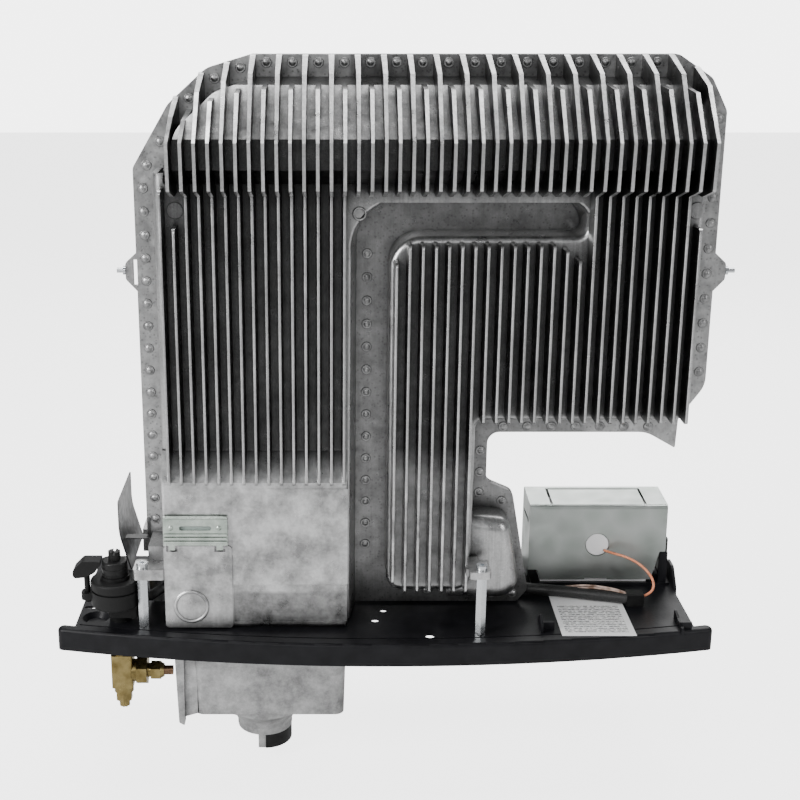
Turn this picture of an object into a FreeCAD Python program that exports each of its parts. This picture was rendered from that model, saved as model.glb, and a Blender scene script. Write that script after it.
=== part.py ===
import FreeCAD, Part
import math
import os

V = FreeCAD.Vector

# Finned gas space-heater core, in millimetres.  X runs along the casing, Y from front to back, Z up.
# The origin is under the middle of the base plate, on the plane of its rim; Y = 0 is the front
# face of the casting flange.

# ---------------------------------------------------------------- driving dimensions
fin_pitch = 10.0
fin_count = 41
first_fin_x = -165.0
fin_tip = 2.4                    # width of a fin at its free edge
fin_root = 4.4                   # width of a fin where it meets the wall
fin_edge_r = 1.05                # rounding of a fin's free edge
upper_fin_root = 4.4
low_fin_height = 17.5
front_depth = 34.0               # flange to the front wall of the passages
rear_depth = 38.0                # rear flange to the rear wall
rear_fin_height = 12.0
wall = 4.0                       # wall of both castings
draft = 2.5                      # half of what a wall leans over its height
flange_t = 4.0                   # thickness of each casting flange
seal_t = 1.0                     # seal between the two castings

flange_left = -201.0
flange_right = 261.5
flange_top = 478.7
base_sheet_t = 2.0               # burner sheet between the plate and the castings

leg_left = -182.0                # burner leg
leg_right = -32.0
leg_rim = -27.5                  # the leg's right wall, at half its height
leg_fin_bottom = 144.5
leg_ramp = 22.0                  # height of the slope from the leg to the burner housing
chamber_left = -173.0
chamber_right = 239.0
passage_right = 243.0
chamber_top = 462.0
chamber_low = 378.0              # where the tall upper fins end
chamber_sill = 384.0             # where the chamber's underside meets the leg
return_left = -1.0               # return leg
return_right = 72.0
return_base = 45.0
return_top = 344.5
bridge_base = 193.0              # lower wall of the cross passage
bridge_flange = 19.0             # flange under the cross passage
groove_end = 150.0               # blind end of the groove between chamber and cross passage
groove_top = 370.0
groove_bend = 36.0               # rounding of the groove's outer bend
groove_blind = 20.0              # rounding of its blind end
groove_rim_r = 2.4
elbow_x = 80.0                   # flue outlet
elbow_z = 74.0
elbow_depth = 30.0
elbow_reach = 117.0              # how far the flange bulges round the elbow
duct_r = 27.5
duct_wall = 2.5
duct_length = 32.0

burner_front = 50.0              # flange to the face of the burner housing
pin_r = 2.5
pin_head_r = 4.1
pin_disc_h = 0.8
pin_dome_r = 2.7
pin_head_h = 1.8
pin_clearance = 0.05

plate_t = 2.0
plate_top = 19.0
plate_under = plate_top - plate_t
shell_base = plate_top + base_sheet_t   # underside of the castings
plate_left = -258.0
plate_right = 256.0
plate_rear = 102.0
rim_bow = 79.6                   # how far the rim stands in front of the flange plane, mid-span
rim_left = -272.0
rim_right = 271.0
rim_end_y = -50.0
rim_depth = 11.0
rim_corner = 5.0

intake_left = -165.0
intake_right = -32.0
intake_front = -30.0
intake_rear = 62.0
intake_base = -73.0
intake_wall = 3.2
intake_draft = 2.4
intake_seal_t = 1.5
neck_x = -104.0
neck_y = 8.0
neck_r = 24.0
funnel_r = 46.0
neck_bottom = -98.0
cowl_bottom = -113.0

post_r = 4.0
post_left = (-200.0, -46.0, 64.0)       # x, y, height of the top
post_right = (76.5, -60.0, 71.0)
post_rear_left = (-200.0, 52.0, 64.0)
post_rear_right = (30.0, 70.0, 71.0)
screw_r = 2.4
screw_head_r = 4.6
screw_head_h = 4.0

stud_z = 310.0
stud_r = 2.0
ear_reach = 9.0
stud_left_tip = -217.0
stud_right_tip = 278.0

valve_x = -224.0
valve_y = -36.0
valve_disc_r = 20.5
valve_disc_low = plate_top + 17.0
valve_disc_top = valve_disc_low + 23.0
bonnet_r = 10.4
bonnet_top = valve_disc_top + 16.0
stem_r = 5.0
stem_clearance = 0.08
stem_top = bonnet_top + 8.0
press_travel = 4.0
rod_r = 2.0
rod_top = stem_top - 4.0
gas_pipe_r = 4.0
outlet_z = valve_disc_low - 2.0  # gas outlet on the valve's side
clip_x = valve_x - 23.5          # stalk of the sensor clip
clip_stalk_r = 2.5
burner_y = -18.0
burner_z = shell_base + 21.0
burner_r = 10.0

inlet_x = -222.0
inlet_y = -30.0
inlet_r = 8.6
inlet_end = -48.0
branch_z = -29.0

window_left = -181.0
window_right = -129.0
window_low = 95.0
window_high = 120.0
glass_t = 2.0
clip_t = 1.0
clip_gap = 0.35

box_left = 128.0                 # igniter cover
box_right = 248.0
box_front = 34.0
box_rear = 80.0
box_low = plate_top + 7.0
box_top = box_low + 71.0
box_sheet = 1.0
box_hole_r = 10.5
box_hole_x = 188.0
box_hole_z = box_low + 32.5
box_gap = 1.0
cell_r = 14.0                    # igniter battery
cell_length = 50.0

label_t = 0.3
label_left = 144.0
label_right = 205.0
label_front = -62.6
label_rear = 13.0
sleeve_r = 5.0
lead_r = 1.1
wire_r = 0.9
lead_radii = []

os.makedirs("parts", exist_ok=True)


# ---------------------------------------------------------------- helpers
def point(plane, a, b, level):
    """A point from two coordinates in a plane and its level along the plane's normal."""
    if plane == "XY":
        return V(a, b, level)
    if plane == "XZ":
        return V(a, level, b)
    return V(level, a, b)


def outline(plane, corners, level):
    """Closed wire through corners (a, b) or (a, b, radius), each rounded by its radius."""
    pts = [(c[0], c[1], c[2] if len(c) > 2 else 0.0) for c in corners]
    stops = []
    for i, (a, b, r) in enumerate(pts):
        here = V(a, b, 0)
        back = V(pts[i - 1][0], pts[i - 1][1], 0) - here
        ahead = V(pts[(i + 1) % len(pts)][0], pts[(i + 1) % len(pts)][1], 0) - here
        if r <= 0:
            stops.append((here, None, here))
            continue
        half = back.getAngle(ahead) / 2
        back.normalize()
        ahead.normalize()
        reach = r / math.tan(half)
        middle = back + ahead
        middle.normalize()
        centre = here + middle * (r / math.sin(half))
        stops.append((here + back * reach, centre - middle * r, here + ahead * reach))
    edges = []
    for i, (start, mid, end) in enumerate(stops):
        if mid is not None:
            arc = [point(plane, p.x, p.y, level) for p in (start, mid, end)]
            edges.append(Part.Arc(*arc).toShape())
        following = stops[(i + 1) % len(stops)][0]
        if (following - end).Length > 1e-6:
            line = [point(plane, p.x, p.y, level) for p in (end, following)]
            edges.append(Part.LineSegment(*line).toShape())
    return Part.Wire(edges)


def prism(plane, corners, low, high):
    """Solid of a rounded outline between two levels along the plane's normal."""
    face = Part.Face(outline(plane, corners, low))
    return face.extrude(point(plane, 0, 0, high - low))


def box(x0, x1, y0, y1, z0, z1):
    return Part.makeBox(x1 - x0, y1 - y0, z1 - z0, V(x0, y0, z0))


def rod(axis, x, y, z, r, length):
    """Cylinder that starts at a point and runs along +X, +Y or +Z."""
    way = {"X": V(1, 0, 0), "Y": V(0, 1, 0), "Z": V(0, 0, 1)}[axis]
    return Part.makeCylinder(r, length, V(x, y, z), way)


def hexagon(axis, x, y, z, across, length):
    """Hexagonal bar that starts at a point and runs along +X or +Z."""
    r = across / math.sqrt(3)
    plane = {"X": "YZ", "Y": "XZ", "Z": "XY"}[axis]
    mid = {"X": (y, z), "Y": (x, z), "Z": (x, y)}[axis]
    start = {"X": x, "Y": y, "Z": z}[axis]
    turns = [math.radians(60 * i + 30) for i in range(6)]
    ring = [(mid[0] + r * math.cos(t), mid[1] + r * math.sin(t)) for t in turns]
    return prism(plane, ring, start, start + length)


def rect(a0, a1, b0, b1, r=0.0):
    """Corners of an upright rectangle with one radius."""
    return [(a0, b0, r), (a1, b0, r), (a1, b1, r), (a0, b1, r)]


def fuse(shapes):
    joined = shapes[0].multiFuse(shapes[1:]) if len(shapes) > 1 else shapes[0]
    return joined.removeSplitter()


def group(shapes):
    return Part.makeCompound(shapes)


def ease(shape, radius, test):
    """Fillet the edges whose midpoint passes a test."""
    edges = []
    for edge in shape.Edges:
        mid = edge.valueAt((edge.FirstParameter + edge.LastParameter) / 2)
        if test(mid, edge):
            edges.append(edge)
    return shape.makeFillet(radius, edges)


def bent_tube(route, r):
    """Round cord along straight runs joined by the largest arcs that both runs allow."""
    pts = [V(*p) for p in route]
    edges = []
    at = pts[0]
    for i in range(1, len(pts) - 1):
        back = pts[i - 1] - pts[i]
        ahead = pts[i + 1] - pts[i]
        turn = math.pi - back.getAngle(ahead)
        shorter = min(back.Length, ahead.Length)
        radius = 0.45 * shorter / math.tan(turn / 2)
        reach = 0.45 * shorter
        back.normalize()
        ahead.normalize()
        middle = back + ahead
        middle.normalize()
        start = pts[i] + back * reach
        end = pts[i] + ahead * reach
        centre = pts[i] + middle * (radius / math.cos(turn / 2))
        edges.append(Part.LineSegment(at, start).toShape())
        edges.append(Part.Arc(start, centre - middle * radius, end).toShape())
        lead_radii.append(round(radius, 1))
        at = end
    edges.append(Part.LineSegment(at, pts[-1]).toShape())
    path = Part.Wire(edges)
    first = pts[1] - pts[0]
    section = Part.Wire([Part.Circle(pts[0], first, r).toShape()])
    tube = path.makePipeShell([section], True, False)
    ideal = math.pi * r * r * path.Length
    print("cord length", round(path.Length, 1), "volume ratio", round(tube.Volume / ideal, 4))
    return tube


def save(name, shape):
    shape.exportStep("parts/" + name + ".step")
    solids = len(shape.Solids)
    print(name, "solids", solids, "valid", shape.isValid(), "volume", round(shape.Volume))


# ---------------------------------------------------------------- casting outline
return_flange = return_right + 12.4
pin_line_left = flange_left + 7.5
pin_line_middle = (leg_right + return_left) / 2
pin_line_top = flange_top - 6.2
pin_line_right = flange_right - 6.0
bridge_edge = bridge_base - bridge_flange
pin_line_bridge = bridge_edge + 5.0

CORNER = [(flange_left, 392.0, 8), (-172.0, 441.0, 20), (-142.0, 468.0, 20), (-106.0, flange_top, 12)]
FLANGE = [
    (flange_left, shell_base, 4),
] + CORNER + [
    (flange_right - 40.0, flange_top, 8),
    (flange_right - 13.0, 461.0, 10),
    (flange_right, 436.0, 10),
    (flange_right, 214.0, 22),
    (flange_right - 20.0, 186.0, 6),
    (flange_right - 21.0, 160.0, 1),
    (216.0, bridge_edge, 24),
    (return_flange, bridge_edge, 10),
    (return_flange, 131.0, 8),
    (107.0, 121.0, 8),
    (elbow_reach + 6.0, 32.0, 6),
    (elbow_reach - 3.0, shell_base, 4),
]


def outline_height(x):
    """Height of the flange's top edge over a fin."""
    tops = [(c[0], c[1]) for c in CORNER]
    tops += [(flange_right - 40.0, flange_top), (flange_right - 13.0, 461.0), (flange_right, 436.0)]
    for (x0, z0), (x1, z1) in zip(tops, tops[1:]):
        if x0 <= x <= x1:
            return z0 + (z1 - z0) * (x - x0) / (x1 - x0)
    return flange_top


def chamber_outline(inset):
    """Front view of the upper chamber, inside the flange by an inset."""
    return [
        (chamber_left + inset, chamber_low - 40.0),
        (chamber_left + inset, 388.0, 8),
        (-160.0 + inset * 0.8, 428.0, 16),
        (-134.0 + inset * 0.5, 452.0, 16),
        (-104.0 + inset * 0.3, chamber_top - inset, 8),
        (chamber_right - 26.0 - inset * 0.3, chamber_top - inset, 8),
        (chamber_right - inset, 438.0, 12),
        (chamber_right - inset, chamber_low - 40.0),
    ]


def passage_outline(inset):
    """Front view of the cross passage and the return leg."""
    i = inset
    round_in = 14.0 - i
    return [
        (return_left + i, return_base + i, round_in),
        (return_right - i, return_base + i, round_in),
        (return_right - i, bridge_base + i, 6.0 + i),
        (passage_right - i, bridge_base + i, round_in),
        (passage_right - i, chamber_low - 10.0),
        (chamber_right - 3.0 - i, chamber_low + 10.0),
        (groove_end + i, chamber_low + 10.0),
        (groove_end + i, return_top - i, 6.0 + i),
        (return_left + i, return_top - i, 26.0 - i),
    ]


def leg_outline(lean):
    """Front view of the burner leg and the sill over the groove; lean moves the groove's walls."""
    right = leg_rim - lean
    sill = groove_top + lean
    end = groove_end + 3.0 + lean
    return [
        (leg_left, shell_base),
        (right, shell_base),
        (right, sill, groove_bend + lean),
        (end, sill, groove_blind + lean),
        (end, return_top - 24.0),
        (end + 30.0, return_top - 24.0),
        (end + 30.0, 392.0),
        (leg_left, 392.0),
    ]


def leaning(corners, depth, back):
    """Casting wall that is narrower at its front than at the flange."""
    front = outline("XZ", corners(draft), -depth)
    foot = outline("XZ", corners(-draft), 0.0)
    lean = Part.makeLoft([front, foot], True, True)
    return lean.fuse(prism("XZ", corners(-draft), 0.0, back))


elbow_side = [(return_right - 20.0, 112.0), (102.0, 106.0), (elbow_reach - 2.5, 35.5), (return_right - 20.0, 35.5)]


def elbow_outline(inset):
    """Front view of the bulge where the return leg turns back to the flue."""
    (x0, z0), (x1, z1), (x2, z2), (x3, z3) = elbow_side
    return [
        (x0, z0 - inset),
        (x1 - inset, z1 - inset, 12),
        (x2 - inset, z2 + inset, 17),
        (x3, z3 + inset),
    ]


# ---------------------------------------------------------------- front casting
kink_y = -62.0
kink_z = 421.0


def front_chamber_profile(inset):
    """Side view of the upper chamber's slanting wall."""
    i = inset
    return [
        (6.0, chamber_top - i),
        (0.0, chamber_top - i),
        (-20.0 + i * 0.4, chamber_top - 5.0 - i),
        (kink_y + i, kink_z - i * 0.4),
        (kink_y + 2.0 + i, chamber_sill + 14.0 + i * 0.2),
        (-front_depth + i, chamber_sill - i * 0.5),
        (-front_depth + i, groove_top + i),
        (6.0, groove_top + i),
    ]


def housing_profile(inset):
    """Side view of the burner housing, with the slope up to the leg."""
    i = inset
    top = leg_fin_bottom + 3.0
    return [
        (6.0, shell_base + i),
        (-burner_front + i, shell_base + i),
        (-burner_front + i, top - i),
        (-front_depth + i, top + leg_ramp - i),
        (6.0, top + leg_ramp - i),
    ]


def front_spaces(inset):
    """All hollow forms of the front casting, as solids that run past the flange's back."""
    i = inset
    back = flange_t + 6.0 if i else flange_t
    limit = prism("XZ", chamber_outline(i), -90.0, back)
    chamber = prism("YZ", front_chamber_profile(i), chamber_left + i, chamber_right - i).common(limit)
    housing = prism("YZ", housing_profile(i), leg_left + i, leg_right - i)
    housing = housing.common(box(-300, 300, -90.0, back, 0.0, 400.0))
    elbow = prism("XZ", elbow_outline(i), -elbow_depth + i, back)
    if i:
        leg = prism("XZ", rect(leg_left + i, leg_right - i, shell_base + i, 392.0), -front_depth + i, back)
        passage = prism("XZ", passage_outline(i + draft / 2), -front_depth + i, back)
        return fuse([leg, housing, chamber, passage, elbow])
    front = -front_depth
    leg = leaning(leg_outline, front_depth, back)
    passage = prism("XZ", passage_outline(draft / 2), -front_depth, back)
    leg = ease(leg, 7.0, lambda m, e: abs(m.y - front) < 0.01 and abs(m.x - leg_left) < 0.1)
    leg = ease(leg, groove_rim_r, lambda m, e: abs(m.y - front) < 0.01 and m.x > leg_rim - 6.0
               and m.x < groove_end + 7.0 and m.z < groove_top + 5.0 and m.z > shell_base + 1.0)
    passage = ease(passage, 5.0, lambda m, e: abs(m.y - front) < 0.01 and m.z < chamber_low)
    elbow = ease(elbow, 11.0, lambda m, e: abs(m.y + elbow_depth) < 0.01 and m.x > return_right)
    housing = ease(housing, 3.0, lambda m, e: abs(m.y + burner_front) < 0.01 and m.z < leg_fin_bottom)
    return fuse([leg, housing, chamber, passage, elbow])


def rounded_fin(x, low, high, root_y, tip_y, end_r):
    """Straight fin with a rounded tip and rounded ends."""
    way = 1.0 if tip_y > root_y else -1.0
    sunk = root_y - 3.0 * way
    section = [
        (x - fin_root / 2, root_y - way),
        (x - fin_tip / 2, tip_y, fin_edge_r),
        (x + fin_tip / 2, tip_y, fin_edge_r),
        (x + fin_root / 2, root_y - way),
        (x + fin_root / 2, sunk),
        (x - fin_root / 2, sunk),
    ]
    body = prism("XY", section, low, high)
    side = [(sunk, low), (tip_y, low, end_r), (tip_y, high, end_r), (sunk, high)]
    front = rect(x - fin_root / 2, x + fin_root / 2, low, high, fin_root / 2 - 0.05)
    y0, y1 = sorted((sunk, tip_y))
    finger = prism("XZ", front, y0 - 1.0, y1 + 1.0)
    return body.common(prism("YZ", side, x - fin_root, x + fin_root)).common(finger)


def copies(master, offsets):
    """Copies of a fin moved along X."""
    made = []
    for dx in offsets:
        one = master.copy()
        one.translate(V(dx, 0, 0))
        made.append(one)
    return made


def upper_fin(k):
    """Fin of the upper chamber: every other one reaches up over the flange."""
    x = first_fin_x + fin_pitch * k
    drop = flange_top - outline_height(x)
    if k % 2 == 0:
        top = [(1.0, flange_top - drop), (-6.0, flange_top - 1.0 - drop), (-44.0, 467.0 - drop)]
    else:
        top = [(1.0, chamber_top - 2.0 - drop), (-20.0, 457.5 - drop), (-50.0, 456.0 - drop)]
    side = top + [
        (-82.0, 420.5),
        (-79.0, 385.0, 2),
        (-front_depth - low_fin_height, chamber_low - 1.0),
        (1.0, chamber_low - 1.0),
    ]
    blank = prism("YZ", side, x - 3.0, x + 3.0)
    tip = fin_tip / 2
    root = upper_fin_root / 2
    wedge = [(x - tip, -83.0), (x + tip, -83.0), (x + root, 1.5), (x - root, 1.5)]
    return blank.common(prism("XY", wedge, 370.0, 480.0))


def fin_x(k):
    return first_fin_x + fin_pitch * k


def front_fins():
    fins = [upper_fin(k) for k in range(fin_count)]
    root = -front_depth
    tip = root - low_fin_height
    foot = bridge_base + draft + 1.0
    high = return_top - draft - 2.0
    long_leg = rounded_fin(fin_x(1), leg_fin_bottom, chamber_low + 4.0, root, tip, 4.0)
    fins += copies(long_leg, [fin_pitch * k for k in range(13)] + [-2 * fin_pitch])
    fins.append(rounded_fin(fin_x(0), leg_fin_bottom, 353.0, root, tip, 4.0))
    down = rounded_fin(fin_x(18), return_base + 6.0, high, root, tip, 4.0)
    fins += copies(down, [fin_pitch * k for k in range(6)])
    fins.append(rounded_fin(fin_x(17), return_base + 14.0, high - 14.0, root, tip, 4.0))
    under = rounded_fin(fin_x(24), foot, high, root, tip, 4.0)
    fins += copies(under, [fin_pitch * k for k in range(6)])
    fins.append(rounded_fin(fin_x(30), foot, high - 4.0, root, tip, 4.0))
    fins.append(rounded_fin(fin_x(31), foot, high - 12.0, root, tip, 4.0))
    across = rounded_fin(fin_x(32), foot, chamber_low + 4.0, root, tip, 4.0)
    fins += copies(across, [fin_pitch * k for k in range(8)])
    fins.append(rounded_fin(fin_x(40), foot, 353.0, root, tip, 4.0))
    return fins


def pin_places():
    """Centres of the clinch pins along the flange, as (x, z)."""
    places = []
    places += [(fin_x(k), pin_line_top) for k in range(7, 39, 2)]
    places += [(fin_x(5), 468.5), (fin_x(3), 460.5), (fin_x(1), 445.5), (-178.5, 412.5), (-190.0, 394.0)]
    places += [(pin_line_left, 376.0 - 18.6 * j) for j in range(16)]
    places += [(pin_line_middle, 324.0 - 19.2 * j) for j in range(14)]
    places += [(97.0 + 20.0 * j, pin_line_bridge) for j in range(7)]
    places += [(pin_line_right, 226.0 + 20.4 * j) for j in range(11)]
    places += [(return_flange - 5.6, z) for z in (158.0, 139.0, 121.0)]
    places += [(98.0, 113.5), (92.0, 28.5), (110.0, 28.5), (37.0, 32.0)]
    return places


PINS = pin_places()


def pin_holes(low, high):
    return [rod("Y", x, low, z, pin_r + pin_clearance, high - low) for x, z in PINS]


def ear(side):
    """Pointed side ear with its bore for the stud."""
    edge = flange_left if side < 0 else flange_right
    tip = edge + side * ear_reach
    shape = [
        (edge - side * 3.0, stud_z - 20.0),
        (tip, stud_z - 7.0, 4),
        (tip, stud_z + 6.0, 4),
        (edge - side * 3.0, stud_z + 17.0),
    ]
    return prism("XZ", shape, 0.0, flange_t)


def lug(post, attach_x, thick, back_y):
    """Cast lug that rests on a post and carries the post's screw."""
    x, y, top = post
    reach = 7.0
    x0, x1 = sorted((x - math.copysign(reach, attach_x - x), attach_x))
    y0, y1 = sorted((y - math.copysign(reach, back_y - y), back_y))
    pad = prism("XY", rect(x0, x1, y0, y1, 3.0), top, top + thick)
    return pad.cut(rod("Z", x, y, top - 1, screw_r + 0.3, thick + 2))


def window_opening():
    """Sight opening in the burner housing and the pocket that holds the glass."""
    front = -burner_front
    sight = box(window_left + 10, window_right - 10, front - 1, front + wall + 1,
                window_low + 6, window_high - 6)
    pocket = box(window_left + 3, window_right - 3, front - 1, front + glass_t,
                 window_low + 2, window_high - 3)
    hooks = [box(x, x + 9.0, front - 2, front + 2.6, window_low - 6.5, window_low - 0.5)
             for x in (window_left + 2.0, window_right - 11.0)]
    return [sight, pocket] + hooks


def burner_opening(y0, y1):
    """Opening in the foot of the burner leg, over the burner base."""
    return box(leg_left + 30.0, leg_right - 30.0, y0, y1, shell_base - 1, shell_base + wall + 1)


def ring_boss(x, z, level, r, bead):
    """Half-round ring cast on a face of the housing."""
    return Part.makeTorus(r, bead, V(x, level, z), V(0, 1, 0))


def build_front_shell():
    plate = prism("XZ", FLANGE, 0.0, flange_t)
    front = -burner_front
    boss = ring_boss(-160.0, 40.0, front - 1.2, 13.2, 1.5)
    panel = prism("XZ", rect(leg_left + 0.5, -126.0, shell_base, window_low - 1.5, 3.0), front - 1.2, front + 1)
    apron = prism("YZ", [(front - 1.2, 60.0), (front + 0.5, 60.0), (front + 0.5, leg_fin_bottom - 2),
                         (front - 0.6, leg_fin_bottom - 2)], -125.0, leg_right)
    rings = [ring_boss(x, 50.5, front + 1.6, 6.0, 0.9) for x in (-121.0, -44.0)]
    side_bosses = [rod("Y", x, -front_depth - 1.0, 364.0, 6.0, 3.0) for x in (fin_x(0), fin_x(40))]
    groove_boss = ring_boss(-23.5, 361.5, -front_depth, 4.6, 0.8)
    lugs = [
        lug(post_left, leg_left + 1.0, 9.0, -30.0),
        lug(post_right, return_right - 6.0, 6.0, -40.0),
        box(-196.0, leg_left + 2.0, -34.0, 1.0, post_left[2] + 0.0, post_left[2] + 22.0),
        box(return_right - 8.0, return_right + 3.0, -60.0, -24.0, post_right[2], post_right[2] + 6.0),
    ]
    solid = fuse([plate, front_spaces(0.0), boss, panel, apron, ear(-1), ear(1)]
                 + rings + side_bosses + [groove_boss] + lugs)
    solid = solid.multiFuse(front_fins())
    cuts = [front_spaces(wall)] + pin_holes(-8.0, flange_t + 1) + window_opening()
    cuts.append(burner_opening(-burner_front + 14.0, flange_t + 1))
    cuts.append(prism("YZ", [(front - 2.0, 58.6), (front + 1.4, 58.6), (front + 2.2, 26.0), (front - 2.0, 25.0)],
                      -125.0, leg_right + 1.0))
    cuts.append(box(flange_left - 2.6, flange_left + 0.6, -1.0, flange_t + 1, stud_z - 12, stud_z + 9))
    cuts.append(rod("X", leg_left - 1, burner_y, burner_z, gas_pipe_r + 0.3, wall + 2))
    for x, y, top in (post_left, post_right):
        cuts.append(rod("Z", x, y, top - 1, screw_r + 0.3, 30.0))
    return solid.cut(cuts).removeSplitter()


# ---------------------------------------------------------------- rear casting
rear_0 = flange_t + seal_t
rear_1 = rear_0 + flange_t
rear_wall_y = rear_1 + rear_depth


def rear_spaces(inset):
    i = inset
    front = rear_0 - 6.0 if i else rear_0
    back = rear_wall_y - i
    leg = prism("XZ", rect(leg_left + i, leg_right - i, shell_base + i, 392.0, 0.0), front, back)
    side = [(front, groove_top + i), (front, chamber_top - i), (rear_1, chamber_top - i),
            (back, chamber_top - 20.0 - i), (back, groove_top + i)]
    slab = prism("YZ", side, chamber_left + i, chamber_right - i)
    chamber = slab.common(prism("XZ", chamber_outline(i), front - 1, back + 1))
    passage = prism("XZ", passage_outline(i), front, back)
    elbow = prism("XZ", elbow_outline(i), front, back)
    if i == 0:
        leg = ease(leg, 6.0, lambda m, e: abs(m.y - back) < 0.01 and m.z < 391)
        passage = ease(passage, 5.0, lambda m, e: abs(m.y - back) < 0.01 and m.z < return_top + 1)
    return fuse([leg, chamber, passage, elbow])


def rear_fins():
    root = rear_wall_y
    tip = rear_wall_y + rear_fin_height
    fins = []
    tall = rounded_fin(fin_x(1), 110.0, 438.0, root, tip, 7.0)
    fins += copies(tall, [fin_pitch * k for k in range(12)])
    short = rounded_fin(fin_x(14), chamber_low - 8.0, 438.0, root, tip, 7.0)
    fins += copies(short, [fin_pitch * k for k in range(18)])
    down = rounded_fin(fin_x(18), 118.0, return_top - 6.0, root, tip, 7.0)
    fins += copies(down, [fin_pitch * k for k in range(6)])
    under = rounded_fin(fin_x(24), 203.0, return_top - 6.0, root, tip, 7.0)
    fins += copies(under, [fin_pitch * k for k in range(8)])
    across = rounded_fin(fin_x(32), 203.0, 438.0, root, tip, 7.0)
    fins += copies(across, [fin_pitch * k for k in range(8)])
    return fins


socket_flange_r = duct_r + 9.0
socket_flange_t = 4.0
socket_seal_t = 1.5
socket_screws = [(elbow_x + 32.0 * math.cos(math.radians(a)), elbow_z + 32.0 * math.sin(math.radians(a)))
                 for a in (45, 135, 225, 315)]


def build_rear_shell():
    plate = prism("XZ", FLANGE, rear_0, rear_1)
    solid = fuse([plate, rear_spaces(0.0)] + [
        lug(post_rear_left, leg_left + 2.0, 9.0, 30.0),
        box(-206.0, leg_left + 2.0, 8.0, 44.0, post_rear_left[2], post_rear_left[2] + 20.0),
        lug(post_rear_right, post_rear_right[0] + 7.0, 6.0, rear_wall_y - 2.0),
        rod("Y", elbow_x, rear_wall_y - 8.0, elbow_z, socket_flange_r, 8.0 + 4.0),
    ])
    solid = solid.multiFuse(rear_fins())
    cuts = [rear_spaces(wall)] + pin_holes(rear_0 - 1, rear_1 + 8.0)
    cuts.append(burner_opening(rear_0 - 1, rear_wall_y - 14.0))
    cuts.append(rod("Y", elbow_x, rear_wall_y - 9.0, elbow_z, duct_r - duct_wall, 20.0))
    cuts += [rod("Y", x, rear_wall_y - 6.0, z, screw_r, 20.0) for x, z in socket_screws]
    cuts.append(rod("X", leg_right - wall - 1, grommet_y, grommet_z, 4.0, wall + 2))
    for x, y, top in (post_rear_left, post_rear_right):
        cuts.append(rod("Z", x, y, top - 1, screw_r + 0.3, 30.0))
    return solid.cut(cuts).removeSplitter()


def build_seal():
    sheet = prism("XZ", FLANGE, flange_t, flange_t + seal_t)
    holes = [front_spaces(wall - 1.0), burner_opening(0.0, 10.0)] + pin_holes(flange_t - 1, rear_0 + 1)
    return sheet.cut(holes)


def build_pins():
    """Clinch pins: shank through both flanges, a domed head at the front and a flat one behind."""
    made = []
    for x, z in PINS:
        shank = rod("Y", x, 0.0, z, pin_r, rear_1)
        disc = Part.makeCone(pin_head_r, pin_head_r - 0.5, pin_disc_h, V(x, 0, z), V(0, -1, 0))
        rise = pin_head_h - pin_disc_h
        dome_r = (pin_dome_r ** 2 + rise ** 2) / (2 * rise)
        ball = Part.makeSphere(dome_r, V(x, dome_r - pin_head_h, z))
        dome = ball.common(box(x - 6, x + 6, -pin_head_h - 1, -pin_disc_h / 2, z - 6, z + 6))
        foot = rod("Y", x, rear_1, z, pin_head_r - 0.6, 1.2)
        made.append(fuse([shank, disc, dome, foot]))
    return group(made)


# ---------------------------------------------------------------- base plate
def bow(x):
    """Y of the bowed front rim, from a circle through its two ends and its middle."""
    half = (rim_right - rim_left) / 2
    sag = rim_bow + rim_end_y
    radius = (half * half + sag * sag) / (2 * sag)
    mid = (rim_right + rim_left) / 2
    return -rim_bow + radius - math.sqrt(radius * radius - (x - mid) ** 2)


def bow_arc(offset, x0, x1, level):
    pts = [V(x, bow(x) + offset, level) for x in (x0, (x0 + x1) / 2, x1)]
    return Part.Arc(*pts).toShape()


def bowed(x0, x1, front, rear_y, low, high):
    """Solid whose front follows the bow, moved back by an offset, with a straight rear."""
    arc = bow_arc(front, x0, x1, low)
    a, b = V(x0, bow(x0) + front, low), V(x1, bow(x1) + front, low)
    c, d = V(x1, rear_y, low), V(x0, rear_y, low)
    sides = [Part.LineSegment(p, q).toShape() for p, q in ((b, c), (c, d), (d, a))]
    return Part.Face(Part.Wire([arc] + sides)).extrude(V(0, 0, high - low))


def rim_bar(inset):
    """The bowed front rim as a solid bar with rounded ends, or the hollow under it."""
    i = inset
    x0, x1 = rim_left + i, rim_right - i
    front = bow_arc(i, x0, x1, 0.0)
    back = bow_arc(rim_depth - i, x0, x1, 0.0)
    ends = [Part.LineSegment(V(x, bow(x) + i, 0), V(x, bow(x) + rim_depth - i, 0)).toShape() for x in (x0, x1)]
    height = plate_top if i == 0 else plate_top - plate_t
    bar = Part.Face(Part.Wire([front, ends[1], back, ends[0]])).extrude(V(0, 0, height))
    if i == 0:
        bar = ease(bar, rim_corner, lambda m, e: e.Length < plate_top + 0.1 and e.Length > plate_top - 0.1)
        bar = ease(bar, 3.0, lambda m, e: abs(m.z - plate_top) < 0.01)
    return bar


intake_cut = (intake_left + 8.0, intake_right - 8.0, intake_front + 8.0, intake_rear - 8.0)


def sunk_head(x, y):
    """Countersunk head, flush with the top of the plate."""
    return Part.makeCone(screw_r - 0.4, screw_r + 1.6, plate_t, V(x, y, plate_under))


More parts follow.
